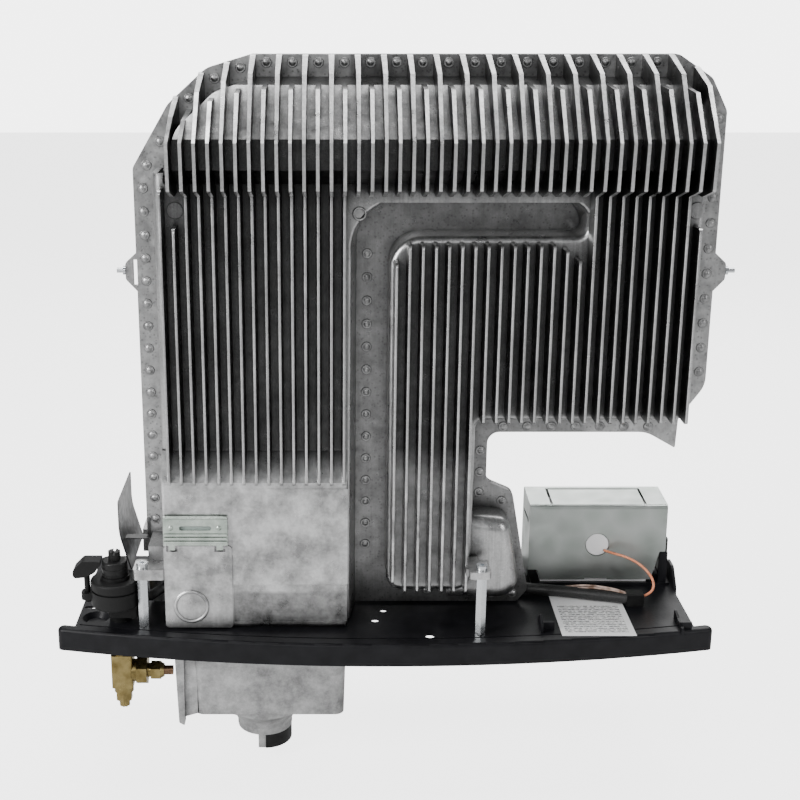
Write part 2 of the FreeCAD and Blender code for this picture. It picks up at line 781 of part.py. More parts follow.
def build_base_plate():
    skirt = 1.6
    pan = bowed(plate_left, plate_right, rim_depth - 6.5, plate_rear, 0.0, plate_top)
    inner = bowed(plate_left + skirt, plate_right - skirt, rim_depth - 1.0, plate_rear - skirt,
                  -1.0, plate_under)
    pan = ease(pan, 8.0, lambda m, e: abs(e.Length - plate_top) < 0.01 and m.y > 50)
    pan = pan.cut([inner, rim_bar(skirt)])
    rim = rim_bar(0.0).cut([rim_bar(skirt)])
    crease = bowed(plate_left + 3.0, plate_right - 3.0, rim_depth + 0.2, 200.0, plate_top - 0.9, plate_top + 1)
    crease = crease.cut([bowed(plate_left, plate_right, rim_depth + 1.8, 201.0, 0.0, plate_top + 2)])
    lobe = prism("YZ", [(24.0, 8.0), (70.0, 8.0), (70.0, 26.0, 8), (56.0, 36.0, 8), (40.0, 36.0, 8), (26.0, 22.0, 6)],
                 plate_right - 0.4, plate_right + 2.0)
    clips = [
        prism("YZ", [(-58, 16), (-38, 16), (-38, 24, 2), (-46, 31, 2), (-58, 26, 2)], 127.0, 129.0),
        box(127.0, 139.0, -52.0, -50.0, 16.0, 26.0),
        prism("YZ", [(-56, 16), (-28, 16), (-28, 27, 2), (-40, 24, 2), (-56, 22, 2)], 243.0, 245.0),
        box(243.0, 253.0, -50.0, -48.0, 16.0, 25.0),
    ]
    dish = Part.makeCone(10.0, 13.0, 4.0, V(-243.0, -28.0, plate_under - 4.0))
    dish_in = Part.makeCone(8.0, 12.0, 5.0, V(-243.0, -28.0, plate_top - 4.4))
    solid = fuse([pan, rim, lobe, dish] + clips)
    x0, x1, y0, y1 = intake_cut
    cuts = [prism("XY", rect(x0, x1, y0, y1, 6.0), -5.0, plate_top + 1), dish_in, crease]
    holes = [(-1.0, -14.0, 3.2), (-8.5, -33.0, 3.6), (35.5, -62.0, 4.0), (90.0, 60.0, 4.0)]
    cuts += [rod("Z", x, y, 5.0, r, 20.0) for x, y, r in holes]
    slots = [rect(-255.0, -241.0, 8.0, 13.0, 2.4), rect(-256.0, -242.0, -11.0, -6.0, 2.4)]
    cuts += [prism("XY", s, 8.0, 25.0) for s in slots]
    for x, y, _ in (post_left, post_right, post_rear_left, post_rear_right):
        cuts.append(rod("Z", x, y, 5.0, screw_r, 20.0))
    cuts += [sunk_head(x, y) for x, y in intake_screws]
    cuts.append(rod("Z", inlet_x, inlet_y, 5.0, inlet_r + 0.4, 20.0))
    return solid.cut(cuts).removeSplitter()


# ---------------------------------------------------------------- air intake
intake_top = plate_under - intake_seal_t
intake_screws = [(x, y) for x in (intake_left + 3.5, intake_right - 3.5)
                 for y in (intake_front + 3.5, intake_rear - 3.5)]


def tapered(x0, x1, y0, y1, z0, z1, draft, r):
    """Box with rounded corners that narrows towards its foot."""
    top = outline("XY", rect(x0, x1, y0, y1, r), z1)
    foot = outline("XY", rect(x0 + draft, x1 - draft, y0 + draft, y1 - draft, r), z0)
    return Part.makeLoft([foot, top], True, True)


def build_intake_housing():
    x0, x1, y0, y1 = intake_left, intake_right, intake_front, intake_rear
    t = intake_wall
    body = tapered(x0, x1, y0, y1, intake_base, intake_top, intake_draft, 8.0)
    hollow = tapered(x0 + t, x1 - t, y0 + t, y1 - t, intake_base + t, intake_top + 1, intake_draft, 5.0)
    mid_r = (funnel_r + neck_r) / 2 - 4.0
    bow_in = Part.Arc(V(funnel_r, 0, intake_base), V(mid_r, 0, intake_base - 9.0), V(neck_r, 0, neck_bottom + 4.0))
    turn = [V(neck_r, 0, neck_bottom + 4.0), V(neck_r, 0, neck_bottom), V(0, 0, neck_bottom),
            V(0, 0, intake_base + 5.0), V(funnel_r, 0, intake_base + 5.0), V(funnel_r, 0, intake_base)]
    wire = Part.Wire([bow_in.toShape()] + [Part.LineSegment(p, q).toShape() for p, q in zip(turn, turn[1:])])
    funnel = Part.Face(wire).revolve(V(0, 0, 0), V(0, 0, 1), 360)
    funnel.translate(V(neck_x, neck_y, 0))
    inside = 2 * intake_draft
    funnel = funnel.common(box(x0 + inside, x1 - inside, y0 + inside, y1 - inside, cowl_bottom, intake_top))
    bore = Part.makeCone(neck_r - 3.0, neck_r + 5.0, intake_base + 6.0 - neck_bottom,
                         V(neck_x, neck_y, neck_bottom))
    throat = rod("Z", neck_x, neck_y, neck_bottom - 1, neck_r - 3.0, 6.0)
    rib = prism("XZ", [(x0 + 3.0, intake_top), (x0 - 14.0, intake_top), (x0 - 11.0, intake_base - 6.0, 2),
                       (x0 - 6.0, intake_base - 9.0, 1), (x0 - 5.4, -20.0)], y0 - 1.0, y0 + 8.0)
    web = prism("XZ", [(x0 + 5.0, intake_top), (x0 - 8.0, intake_top), (x0 - 8.0, intake_base - 3.0),
                       (x0 + 5.0, intake_base + 1.0)], y0 + 3.0, y0 + 7.0)
    corners = [rod("Z", x, y, intake_base + 8.0, 4.6, intake_top - intake_base - 8.0) for x, y in intake_screws]
    body = fuse([body, funnel, rib, web])
    keep = body.cut([hollow])
    posts = [c.common(body) for c in corners]
    keep = keep.fuse(posts)
    cuts = [bore, throat]
    cuts += [rod("Z", x, y, intake_top - 18.0, screw_r - 0.3, 20.0) for x, y in intake_screws]
    return keep.cut(cuts).removeSplitter()


def build_intake_seal():
    x0, x1, y0, y1 = intake_left, intake_right, intake_front, intake_rear
    sheet = prism("XY", rect(x0, x1, y0, y1, 8.0), intake_top, plate_under)
    a, b, c, d = intake_cut
    cuts = [prism("XY", rect(a, b, c, d, 6.0), intake_top - 1, plate_under + 1)]
    cuts += [rod("Z", x, y, intake_top - 1, screw_r, 4.0) for x, y in intake_screws]
    return sheet.cut(cuts)


def build_intake_screws():
    made = []
    for x, y in intake_screws:
        drive = hexagon("Z", x, y, plate_top - 1.2, 2.5, 2.0)
        shank = rod("Z", x, y, intake_top - 12.0, screw_r - 0.4, plate_under - intake_top + 12.0)
        made.append(sunk_head(x, y).fuse(shank).cut(drive))
    return group(made)


hood_x = neck_x + 1.5
cowl_r = neck_r - 0.4
cowl_ring_t = 2.0


def build_cowl():
    """Ring under the intake neck with a hollow rib across it."""
    z0, z1 = cowl_bottom, neck_bottom
    ring = rod("Z", neck_x, neck_y, z1 - cowl_ring_t, cowl_r, cowl_ring_t)
    ring = ring.cut(rod("Z", neck_x, neck_y, z1 - 3.0, neck_r - 4.0, 4.0))
    rib = box(neck_x - 5.0, hood_x, neck_y - neck_r + 1.6, neck_y + neck_r - 1.6, z0, z1 - 1.0)
    rib = rib.cut(box(neck_x - 3.4, hood_x + 1.0, neck_y - neck_r + 3.4, neck_y + neck_r - 3.4, z0 - 1, z1))
    return fuse([ring, rib])


def build_hood():
    """Dark half-round hood beside the rib, against rain and wind."""
    z0, z1 = cowl_bottom, neck_bottom - cowl_ring_t
    hood = rod("Z", neck_x, neck_y, z0, cowl_r, z1 - z0).cut(
        rod("Z", neck_x, neck_y, z0 - 1, neck_r - 3.0, z1 - z0 + 2))
    return hood.common(box(hood_x, neck_x + 40, neck_y - 40, neck_y + 40, z0, z1))


# ---------------------------------------------------------------- posts, screws and studs
POSTS = [post_left, post_right, post_rear_left, post_rear_right]
LUG_T = [9.0, 6.0, 9.0, 6.0]


def build_posts():
    made = []
    for x, y, top in POSTS:
        post = hexagon("Z", x, y, plate_top, 2 * post_r, top - plate_top)
        bore = rod("Z", x, y, top - 14.0, screw_r - 0.3, 20.0)
        low_bore = rod("Z", x, y, plate_top - 1.0, screw_r - 0.3, 12.0)
        made.append(post.cut([bore, low_bore]))
    return group(made)


def build_post_screws():
    made = []
    for (x, y, top), thick in zip(POSTS, LUG_T):
        seat = top + thick
        head = rod("Z", x, y, seat, screw_head_r, screw_head_h)
        slot = hexagon("Z", x, y, seat + 1.6, 4.0, 4.0)
        shank = rod("Z", x, y, top - 10.0, screw_r - 0.4, seat - top + 10.0)
        made.append(head.fuse(shank).cut(slot))
    return group(made)


def build_stud(side):
    edge = flange_left if side < 0 else flange_right
    tip = stud_left_tip if side < 0 else stud_right_tip
    y = flange_t / 2
    start = min(tip, edge + side * ear_reach)
    length = abs(tip - edge - side * ear_reach)
    stud = rod("X", start, y, stud_z, stud_r, length)
    collar = rod("X", edge + side * ear_reach - (2.0 if side < 0 else 0.0), y, stud_z, stud_r + 1.6, 2.0)
    return fuse([stud, collar])


# ---------------------------------------------------------------- flue outlet
def build_socket():
    y0 = rear_wall_y + 4.0 + socket_seal_t
    flange = rod("Y", elbow_x, y0, elbow_z, socket_flange_r, socket_flange_t)
    tube = rod("Y", elbow_x, y0, elbow_z, duct_r, socket_flange_t + duct_length)
    bore = rod("Y", elbow_x, y0 - 1, elbow_z, duct_r - duct_wall, socket_flange_t + duct_length + 2)
    cuts = [bore] + [rod("Y", x, y0 - 1, z, screw_r, 8.0) for x, z in socket_screws]
    return flange.fuse(tube).cut(cuts)


def build_socket_seal():
    y0 = rear_wall_y + 4.0
    ring = rod("Y", elbow_x, y0, elbow_z, socket_flange_r, socket_seal_t)
    cuts = [rod("Y", elbow_x, y0 - 1, elbow_z, duct_r - duct_wall, 4.0)]
    cuts += [rod("Y", x, y0 - 1, z, screw_r, 8.0) for x, z in socket_screws]
    return ring.cut(cuts)


def build_socket_screws():
    made = []
    seat = rear_wall_y + 4.0 + socket_seal_t + socket_flange_t
    for x, z in socket_screws:
        head = hexagon("Y", x, seat, z, 7.0, 3.0)
        shank = rod("Y", x, seat - 12.0, z, screw_r - 0.2, 12.0)
        made.append(head.fuse(shank))
    return group(made)


# ---------------------------------------------------------------- burner
burner_x0 = leg_left + wall + 18.0
burner_x1 = leg_right - wall - 20.0


def build_burner_base():
    """Sheet under the casting foot that carries the burner."""
    sheet = box(leg_left + 8.0, leg_right - 8.0, -burner_front + 8.0, rear_wall_y - 6.0, plate_top, shell_base)
    x0, x1, y0, y1 = leg_left + 40.0, leg_right - 40.0, 4.0, rear_wall_y - 16.0
    return sheet.cut(prism("XY", rect(x0, x1, y0, y1, 4.0), plate_top - 1, shell_base + 1))


def build_burner_tube():
    length = burner_x1 - burner_x0
    tube = rod("X", burner_x0, burner_y, burner_z, burner_r, length)
    bore = rod("X", burner_x0 - 1, burner_y, burner_z, burner_r - 1.2, length - 1.0)
    slots = [box(burner_x0 + 28.0 + 4.0 * j, burner_x0 + 29.6 + 4.0 * j, burner_y - 7.0, burner_y + 7.0,
                 burner_z + 6.0, burner_z + burner_r + 1) for j in range(16)]
    return tube.cut([bore] + slots)


def build_burner_bracket():
    """Two cradles bent up from a foot strip."""
    made = [box(burner_x0 + 12.0, burner_x1 - 8.0, burner_y - 8.0, burner_y + 8.0, shell_base, shell_base + 1.5)]
    for x in (burner_x0 + 12.0, burner_x1 - 9.5):
        made.append(box(x, x + 1.5, burner_y - 8.0, burner_y + 8.0, shell_base, burner_z))
    cradle = fuse(made)
    return cradle.cut(rod("X", burner_x0, burner_y, burner_z, burner_r + 0.05, 200.0))


def build_injector():
    x = leg_left + wall + 2.0
    nut = hexagon("X", x, burner_y, burner_z, 12.0, 7.0)
    nose = Part.makeCone(4.5, 2.2, 7.0, V(x + 7.0, burner_y, burner_z), V(1, 0, 0))
    bore = rod("X", x - 1, burner_y, burner_z, 0.6, 20.0)
    inlet = rod("X", x - 1, burner_y, burner_z, gas_pipe_r - 0.0, 5.0)
    return fuse([nut, nose]).cut([bore, inlet])


def build_electrode():
    x, y = burner_x0 + 44.0, burner_y + 19.0
    ceramic = rod("Z", x, y, shell_base, 3.4, 24.0).cut(rod("Z", x, y, shell_base - 1, 1.1, 30.0))
    rest = Part.makeCone(5.0, 3.4, 3.0, V(x, y, shell_base)).cut(rod("Z", x, y, shell_base - 1, 1.1, 6.0))
    return fuse([ceramic, rest])


def build_electrode_wire():
    x, y = burner_x0 + 44.0, burner_y + 19.0
    wire = rod("Z", x, y, shell_base, 1.1, 38.0)
    tip = rod("Y", x, y - 9.0, shell_base + 37.0, 1.1, 9.0)
    return fuse([wire, tip])


def build_thermocouple():
    x, y = burner_x0 + 62.0, burner_y + 19.0
    sheath = rod("Z", x, y, shell_base, 2.2, 34.0)
    nut = hexagon("Z", x, y, shell_base, 8.0, 5.0)
    tip = Part.makeSphere(2.2, V(x, y, shell_base + 34.0))
    return fuse([sheath, nut, tip])


# ---------------------------------------------------------------- inspection window
def build_glass():
    front = -burner_front
    return box(window_left + 3.4, window_right - 3.4, front, front + glass_t, window_low + 2.4, window_high - 3.4)


clip_front = -burner_front - 1.2 - clip_gap - clip_t
clip_back = clip_front + clip_t
hinge_z = window_low - 2.6
hinge_y = -burner_front - 1.6
hinge_eye_r = 1.0


def build_window_clip():
    """Sprung sheet that presses the glass into its pocket and swings forward off its two hooks."""
    sheet = prism("XZ", [(window_left, window_low - 0.5), (window_right, window_low - 0.5),
                         (window_right, window_high, 4), (window_left, window_high, 4)], clip_front, clip_back)
    middle = (window_left + window_right) / 2
    slot = prism("XZ", rect(middle - 13, middle + 13, 107.6, 111.4, 1.8), clip_front - 1, clip_back + 1)
    sheet = sheet.cut(slot)
    for z in (103.2, 100.0, 96.8):
        sheet = sheet.fuse(box(window_left + 0.5, window_right - 0.5, clip_front - 0.9, clip_front + 0.1, z, z + 1.5))
    fold = rod("X", window_left + 0.2, clip_front + 0.6, window_high - 1.6, 1.5, window_right - window_left - 0.4)
    dimples = [Part.makeSphere(2.6, V(middle + d, clip_front + 1.4, 109.8)).common(
        box(middle + d - 4, middle + d + 4, clip_front - 4, clip_front + 0.5, 100, 120)) for d in (-20, 19)]
    places = (window_left + 4.0, window_right - 9.0)
    tabs = [box(x, x + 5.0, clip_front, clip_back, window_low - 4.5, window_low + 1) for x in places]
    eyes = [rod("X", x, hinge_y, hinge_z, hinge_eye_r, 5.0) for x in places]
    return sheet.multiFuse([fold] + dimples + tabs + eyes).removeSplitter()


# ---------------------------------------------------------------- heat shield
shield_x = -222.0
shield_t = 1.0


def build_heat_shield():
    """Sheet between the valve and the hot casting, curled at its foot, with a tab behind the flange."""
    x, t = shield_x, shield_t
    section = [(x, 120.0), (x + t, 120.0), (x + t, 92.0, 60), (x + 9.8, 60.0), (x + 8.8, 59.6), (x, 91.6, 60)]
    bend = prism("XZ", section, -21.0, 54.0)
    bend = bend.common(prism("YZ", rect(-21.0, 54.0, 50.0, 120.0, 2.0), x - 5.0, x + 20.0))
    tab = box(x + 3.0, flange_left + 3.0, -9.0, 0.0, 82.0, 82.0 + t)
    foot = box(flange_left + 0.5, flange_left + 3.0, -t, 0.0, 82.0, 98.0)
    return fuse([bend, tab, foot])


# ---------------------------------------------------------------- gas valve
def build_valve_body():
    x, y = valve_x, valve_y
    disc = ease(rod("Z", x, y, valve_disc_low, valve_disc_r, valve_disc_top - valve_disc_low), 2.0,
                lambda m, e: e.Length > 50)
    seam = valve_disc_low + 14.0
    groove = rod("Z", x, y, seam, valve_disc_r + 1, 1.6).cut(rod("Z", x, y, seam - 1.0, valve_disc_r - 1.2, 4.0))
    block = prism("XY", rect(x - 6.0, x + 19.0, y - 8.0, y + 22.0, 3.0), plate_top + 7.0, valve_disc_low + 2)
    neck = rod("Z", inlet_x, inlet_y, plate_top, 9.0, 10.0)
    ears = prism("XY", rect(clip_x - 5.0, x + 8.0, y - 6.0, y + 6.0, 4.5), valve_disc_low + 5, valve_disc_low + 11)
    solid = fuse([disc, block, neck, ears]).cut([groove])
    cuts = [rod("Z", x, y, valve_disc_low + 3.0, stem_r + 2.0, 40.0)]
    cuts.append(rod("Z", inlet_x, inlet_y, plate_top - 1, 3.0, 14.0))
    cuts.append(rod("X", x + 12.0, burner_y, outlet_z, gas_pipe_r, 20.0))
    cuts.append(rod("Z", clip_x, y, valve_disc_low - 6.0, clip_stalk_r, 30.0))
    return solid.cut(cuts).removeSplitter()


def build_bonnet():
    x, y = valve_x, valve_y
    low = rod("Z", x, y, valve_disc_top, bonnet_r + 1.6, 3.0)
    tube = rod("Z", x, y, valve_disc_top, bonnet_r, bonnet_top - valve_disc_top)
    tube = ease(tube, 1.5, lambda m, e: m.z > bonnet_top - 0.1)
    lips = [rod("Z", x, y, valve_disc_top + 4.0 + 5.0 * j, bonnet_r + 0.5, 1.2) for j in (0, 1)]
    guide = rod("Z", x, y, valve_disc_top - 6.0, stem_r + 1.95, 6.0)
    bore = rod("Z", x, y, valve_disc_top - 7.0, stem_r + stem_clearance, 30.0)
    return fuse([low, tube, guide] + lips).cut(bore)


spring_floor = valve_disc_low + 3.0


def build_spring():
    """Return spring, drawn at its pressed length."""
    x, y = valve_x, valve_y
    coil = []
    for j in range(5):
        coil.append(Part.makeTorus(3.0, 0.55, V(x, y, spring_floor + 0.55 + 1.1 * j)))
    stay = rod("Z", x, y, spring_floor, 3.3, 5.4).cut(rod("Z", x, y, spring_floor - 1, 2.7, 8.0))
    return fuse([stay] + coil)


def build_stem():
    """Inner rod that is pressed down to open the pilot; it doesn't turn."""
    x, y = valve_x, valve_y
    low = spring_floor + 5.5 + press_travel + 0.5
    foot = rod("Z", x, y, low, stem_r - 0.4, 2.4)
    shaft = rod("Z", x, y, low, rod_r, rod_top - low)
    return fuse([foot, shaft])


def build_coupling():
    """Ridged end that takes the control rod; it turns, and goes down with the stem."""
    x, y = valve_x, valve_y
    low = spring_floor + 5.5 + press_travel + 0.5 + 2.4 + 0.3
    body = rod("Z", x, y, low, stem_r, stem_top - low)
    bore = rod("Z", x, y, low - 1, rod_r + 0.05, rod_top + 0.6 - low + 1)
    slot = box(x - 1.1, x + 1.1, y - 6, y + 6, stem_top - 2.2, stem_top + 1)
    ridges = []
    for j in range(10):
        t = math.radians(36 * j + 10)
        ridges.append(rod("Z", x + 5.2 * math.cos(t), y + 5.2 * math.sin(t), bonnet_top + press_travel + 0.4, 0.7,
                          stem_top - bonnet_top - press_travel + 1))
    return body.cut([bore, slot] + ridges)


def build_valve_clip():
    """Pressed steel clip on the valve's left ear that holds the sensor line."""
    x, y = valve_x, valve_y
    z = valve_disc_low + 25.0
    plate = prism("XZ", [(x - 34.0, z + 7.0, 4), (x - 26.0, z + 15.0, 4), (x - 11.0, z + 15.0), (x - 11.0, z + 12.0),
                         (x - 16.0, z + 5.0, 3), (x - 24.0, z + 1.0, 3), (x - 34.0, z, 3)], y - 7.0, y + 7.0)
    plate = plate.cut(prism("XZ", [(x - 31.0, z + 3.0, 1), (x - 26.0, z + 3.5, 1), (x - 21.0, z + 8.0, 1),
                                   (x - 28.0, z + 12.0, 1)], y - 5.4, y + 9.0))
    stalk = rod("Z", clip_x, y, valve_disc_low + 2.0, clip_stalk_r, 26.0)
    return fuse([plate, stalk])


def build_gas_pipe():
    """Pipe from the valve through the casting wall to the injector."""
    x_start = valve_x + 12.0
    x_end = leg_left + wall + 5.0
    route = [V(x_start, burner_y, outlet_z), V(valve_x + 26.0, burner_y, outlet_z),
             V(leg_left - 4.5, burner_y, burner_z), V(x_end, burner_y, burner_z)]
    tube = Part.makeCylinder(gas_pipe_r, (route[1] - route[0]).Length, route[0], V(1, 0, 0))
    slope = route[2] - route[1]
    mid = Part.makeCylinder(gas_pipe_r, slope.Length, route[1], slope)
    end = Part.makeCylinder(gas_pipe_r, (route[3] - route[2]).Length, route[2], V(1, 0, 0))
    bends = [Part.makeSphere(gas_pipe_r, p) for p in route[1:3]]
    return fuse([tube, mid, end] + bends)


def build_gas_nut():
    nut = hexagon("X", valve_x + 19.0, burner_y, outlet_z, 13.0, 5.0)
    return nut.cut(rod("X", valve_x + 18.0, burner_y, outlet_z, gas_pipe_r + 0.02, 9.0))


def build_inlet_fitting():
    """Brass tee under the plate: gas comes in from the side, and a test point faces down."""
    x, y = inlet_x, inlet_y
    body = rod("Z", x, y, -14.0, inlet_r, plate_under + 14.0)
    block = ease(box(x - 9.0, x + 9.0, y - 9.0, y + 9.0, inlet_end + 6.0, -12.0), 2.0,
                 lambda m, e: abs(e.Length - 18.0) > 1)
    lower = rod("Z", x, y, inlet_end, inlet_r - 0.4, 7.0)
    neck = rod("Z", x, y, plate_under, inlet_r - 0.6, plate_top - plate_under)
    shoulder = rod("X", x + 8.0, y, branch_z, 9.6, 5.0)
    branch = hexagon("X", x + 12.0, y, branch_z, 22.0, 9.0)
    thread = rod("X", x + 21.0, y, branch_z, 6.0, 3.0)
    bore = rod("X", x, y, branch_z, gas_pipe_r + 0.02, 40.0)
    riser = rod("Z", x, y, branch_z, 3.0, 60.0)
    return fuse([body, block, lower, neck, shoulder, branch, thread]).cut([bore, riser])


def build_inlet_nut():
    x = inlet_x + 24.0
    nut = hexagon("X", x, inlet_y, branch_z, 15.0, 8.0)
    cone = Part.makeCone(7.0, 5.4, 3.0, V(x + 8.0, inlet_y, branch_z), V(1, 0, 0))
    return fuse([nut, cone]).cut(rod("X", x - 1, inlet_y, branch_z, gas_pipe_r + 0.02, 14.0))


def build_inlet_pipe():
    x0, x1 = inlet_x + 6.0, intake_left - 14.5
    pipe = rod("X", x0, inlet_y, branch_z, gas_pipe_r, x1 - x0)
    return pipe.cut(rod("X", x0 - 1, inlet_y, branch_z, gas_pipe_r - 1.0, x1 - x0 + 2))


def build_test_plug():
    """Knurled plug in the test point."""
    x, y = inlet_x, inlet_y
    nut = hexagon("Z", x, y, inlet_end - 8.0, 12.6, 8.0)
    tip = rod("Z", x, y, inlet_end - 14.0, 4.4, 6.0)
    cuts = []
    for j in range(9):
        t = math.radians(40 * j)
        cuts.append(rod("Z", x + 4.7 * math.cos(t), y + 4.7 * math.sin(t), inlet_end - 15.0, 0.9, 6.4))
    return fuse([nut, tip]).cut(cuts)


# ---------------------------------------------------------------- igniter
def build_igniter_cover():
    """Zinc-plated sheet cover, open below, with a tongue cut in its top."""
    x0, x1, y0, y1, z0, z1 = box_left, box_right, box_front, box_rear, box_low, box_top
    t = box_sheet
    outer = prism("YZ", [(y0, z0), (y1, z0), (y1, z1, 3), (y0 + 1.5, z1 - 2.0, 4)], x0, x1)
    inner = prism("YZ", [(y0 + t, z0 - 1), (y1 - t, z0 - 1), (y1 - t, z1 - t, 2), (y0 + 1.5 + t, z1 - 2.0 - t, 3)],
                  x0 + t, x1 - t)
    shell = outer.cut(inner)
    u0, u1, v0 = x0 + 18.0, x1 - 18.0, y1 - 9.0
    cuts = [
        box(u0, u0 + 2.2, y0 + 5.0, v0, z1 - 8, z1 + 2),
        box(u1 - 2.2, u1, y0 + 5.0, v0, z1 - 8, z1 + 2),
        box(u0, u1, v0, v0 + 2.2, z1 - 8, z1 + 2),
        rod("Y", box_hole_x, y0 - 1, box_hole_z, box_hole_r, t + 3),
        prism("XZ", [(x0 - 1, z0 - 1), (x0 + 11.0, z0 - 1), (x0 + 8.0, z0 + 9.0), (x0 - 1, z0 + 9.0)], y0 - 1, y0 + 8),
        prism("XZ", [(x1 - 12.0, z0 - 1), (x1 + 1, z0 - 1), (x1 + 1, z0 + 26.0), (x1 - 5.0, z0 + 26.0)],
              y0 - 1, y0 + 9),
        box(x0 - 1, x0 + 2, y0 + 8.0, y1 - 8.0, z0 + 50.0, z0 + 53.0),
        box(x0 + 50.0, x0 + 70.0, y0 - 1, y0 + 3, z0 - 1, z0 + 1.2),
    ]
    return shell.cut(cuts).removeSplitter()


def build_igniter_module():
    """Moulded housing of the igniter, with the round barrel that shows through the cover."""
    g = box_gap + box_sheet
    x0, x1 = box_left + g + 10.0, box_right - g - 12.0
    body = prism("YZ", [(box_front + g + 5, plate_top + 2.0), (box_rear - g, plate_top + 2.0),
                        (box_rear - g, box_top - 9.0, 3), (box_front + g + 5, box_top - 9.0, 3)], x0, x1)
    barrel = rod("Y", box_hole_x, box_front + 1.6, box_hole_z, box_hole_r - 0.6, 8.0)
    y, z = (box_front + box_rear) / 2 + 2.0, plate_top + cell_r + 11.0
    cell = rod("X", box_left + 22.0, y, z, cell_r + 0.4, cell_length + 1.0)
    mouth = box(box_left + 22.0, box_left + 23.0 + cell_length, box_front + 10.0, box_rear - 5.0, plate_top, z)
    hole = rod("Y", box_hole_x + 6.5, box_front, box_hole_z - 5.5, lead_r + 0.1, 5.0)
    return body.fuse(barrel).cut([cell, mouth, hole])


def build_battery():
    """Baby cell that powers the igniter."""
    x, y, z = box_left + 22.5, (box_front + box_rear) / 2 + 2.0, plate_top + cell_r + 11.0
    can = ease(rod("X", x, y, z, cell_r, cell_length - 2.0), 1.2, lambda m, e: True)
    cap = rod("X", x + cell_length - 2.1, y, z, 3.6, 2.0)
    return fuse([can, cap])


def build_igniter_bracket():
    """Black bracket under the igniter, with the upright at its right end."""
    z0 = plate_top
    foot = box(box_left + 4.0, box_right + 6.0, box_front + 3.0, box_rear + 3.0, z0, plate_top + 2.0)
    foot = foot.cut(box(box_left + 20.0, box_left + 24.0 + cell_length, box_front + 8.0, box_rear - 3.0, z0 - 1, 30.0))
    upright = box(box_right + 1.0, box_right + 3.0, box_front + 6.0, box_rear - 8.0, z0, z0 + 43.0)
    upright = upright.cut(rod("X", box_right, box_front + 12.0, z0 + 35.0, 2.0, 5.0))
    lip = box(box_right - 4.0, box_right + 3.0, box_front + 3.5, box_front + 6.0, z0, z0 + 31.0)
    return fuse([foot, upright, lip])


connector_box = (207.5, 222.0, -8.0, 3.5, plate_top + label_t, 30.5)


def build_connector():
    x0, x1, y0, y1, z0, z1 = connector_box
    body = ease(box(x0, x1, y0, y1, z0, z1), 1.2, lambda m, e: abs(m.z - z1) < 0.1)
    socket = rod("X", x1 - 4.0, (y0 + y1) / 2, z1 - 4.5, lead_r + 0.02, 6.0)
    return body.cut(socket)


grommet_y = 22.0
grommet_z = 29.5
LEAD = [
    (194.5, 35.0, 53.0),
    (200.0, 25.0, 54.6),
    (210.0, 18.0, 54.4),
    (220.5, 12.0, 50.6),
    (228.5, 6.5, 44.0),
    (232.4, 1.5, 35.8),
    (229.0, -1.6, 28.4),
    (221.0, -2.2, 26.0),
]
SLEEVE = [
    (208.6, -3.0, 24.9),
    (190.0, 2.0, 24.8),
    (164.0, 9.6, 24.7),
    (136.0, 16.4, 24.6),
    (106.0, 21.6, 24.4),
    (72.0, 23.4, 24.6),
    (38.0, 22.8, 25.0),
    (5.0, 23.4, 27.4),
    (leg_rim + draft + 2.4, grommet_y, grommet_z),
]
WIRES = [
    [(208.6, -3.6, 28.6), (202.0, -1.6, 30.6), (190.0, 2.6, 31.0), (178.0, 6.8, 30.6), (167.0, 9.4, 28.6)],
    [(208.6, -0.6, 28.4), (201.0, 2.2, 30.6), (186.0, 7.6, 31.2), (170.0, 11.8, 30.6), (156.0, 13.2, 28.0)],
]


def build_grommet():
    """Rubber grommet where the sleeve enters the burner leg."""
    body = rod("X", leg_right - wall, grommet_y, grommet_z, 4.0, wall + 2.0)
    lip = rod("X", leg_right, grommet_y, grommet_z, 6.4, 2.4)
    return fuse([body, lip])


def build_label():
    return box(label_left, label_right, label_front, label_rear, plate_top, plate_top + label_t)


# ---------------------------------------------------------------- build everything
save("front_shell", build_front_shell())
save("rear_shell", build_rear_shell())
save("shell_seal", build_seal())
save("clinch_pins", build_pins())
save("base_plate", build_base_plate())
save("intake_housing", build_intake_housing())
save("intake_seal", build_intake_seal())
save("intake_screws", build_intake_screws())
save("intake_cowl", build_cowl())
save("cowl_hood", build_hood())
save("standoff_posts", build_posts())
save("standoff_screws", build_post_screws())
save("side_stud_left", build_stud(-1))
save("side_stud_right", build_stud(1))
save("flue_socket", build_socket())
save("flue_seal", build_socket_seal())
save("flue_screws", build_socket_screws())
save("burner_base", build_burner_base())
save("burner_tube", build_burner_tube())
save("burner_bracket", build_burner_bracket())
save("gas_injector", build_injector())
save("electrode_ceramic", build_electrode())
save("electrode_wire", build_electrode_wire())
save("thermocouple", build_thermocouple())
save("window_glass", build_glass())
save("window_clip", build_window_clip())
save("heat_shield", build_heat_shield())
save("valve_body", build_valve_body())
save("valve_bonnet", build_bonnet())
save("valve_spring", build_spring())
save("valve_stem", build_stem())
save("valve_coupling", build_coupling())
save("valve_clip", build_valve_clip())
save("gas_pipe", build_gas_pipe())
save("gas_pipe_nut", build_gas_nut())
save("inlet_fitting", build_inlet_fitting())
save("inlet_nut", build_inlet_nut())
save("inlet_pipe", build_inlet_pipe())
save("test_plug", build_test_plug())
save("igniter_cover", build_igniter_cover())
save("igniter_module", build_igniter_module())
save("igniter_battery", build_battery())
save("igniter_bracket", build_igniter_bracket())
save("igniter_connector", build_connector())
save("igniter_lead", bent_tube(LEAD, lead_r))
save("cable_sleeve", bent_tube(SLEEVE, sleeve_r))
save("cable_wires", group([bent_tube(w, wire_r) for w in WIRES]))
save("sleeve_grommet", build_grommet())
save("rating_label", build_label())
print("arc radii", lead_radii)
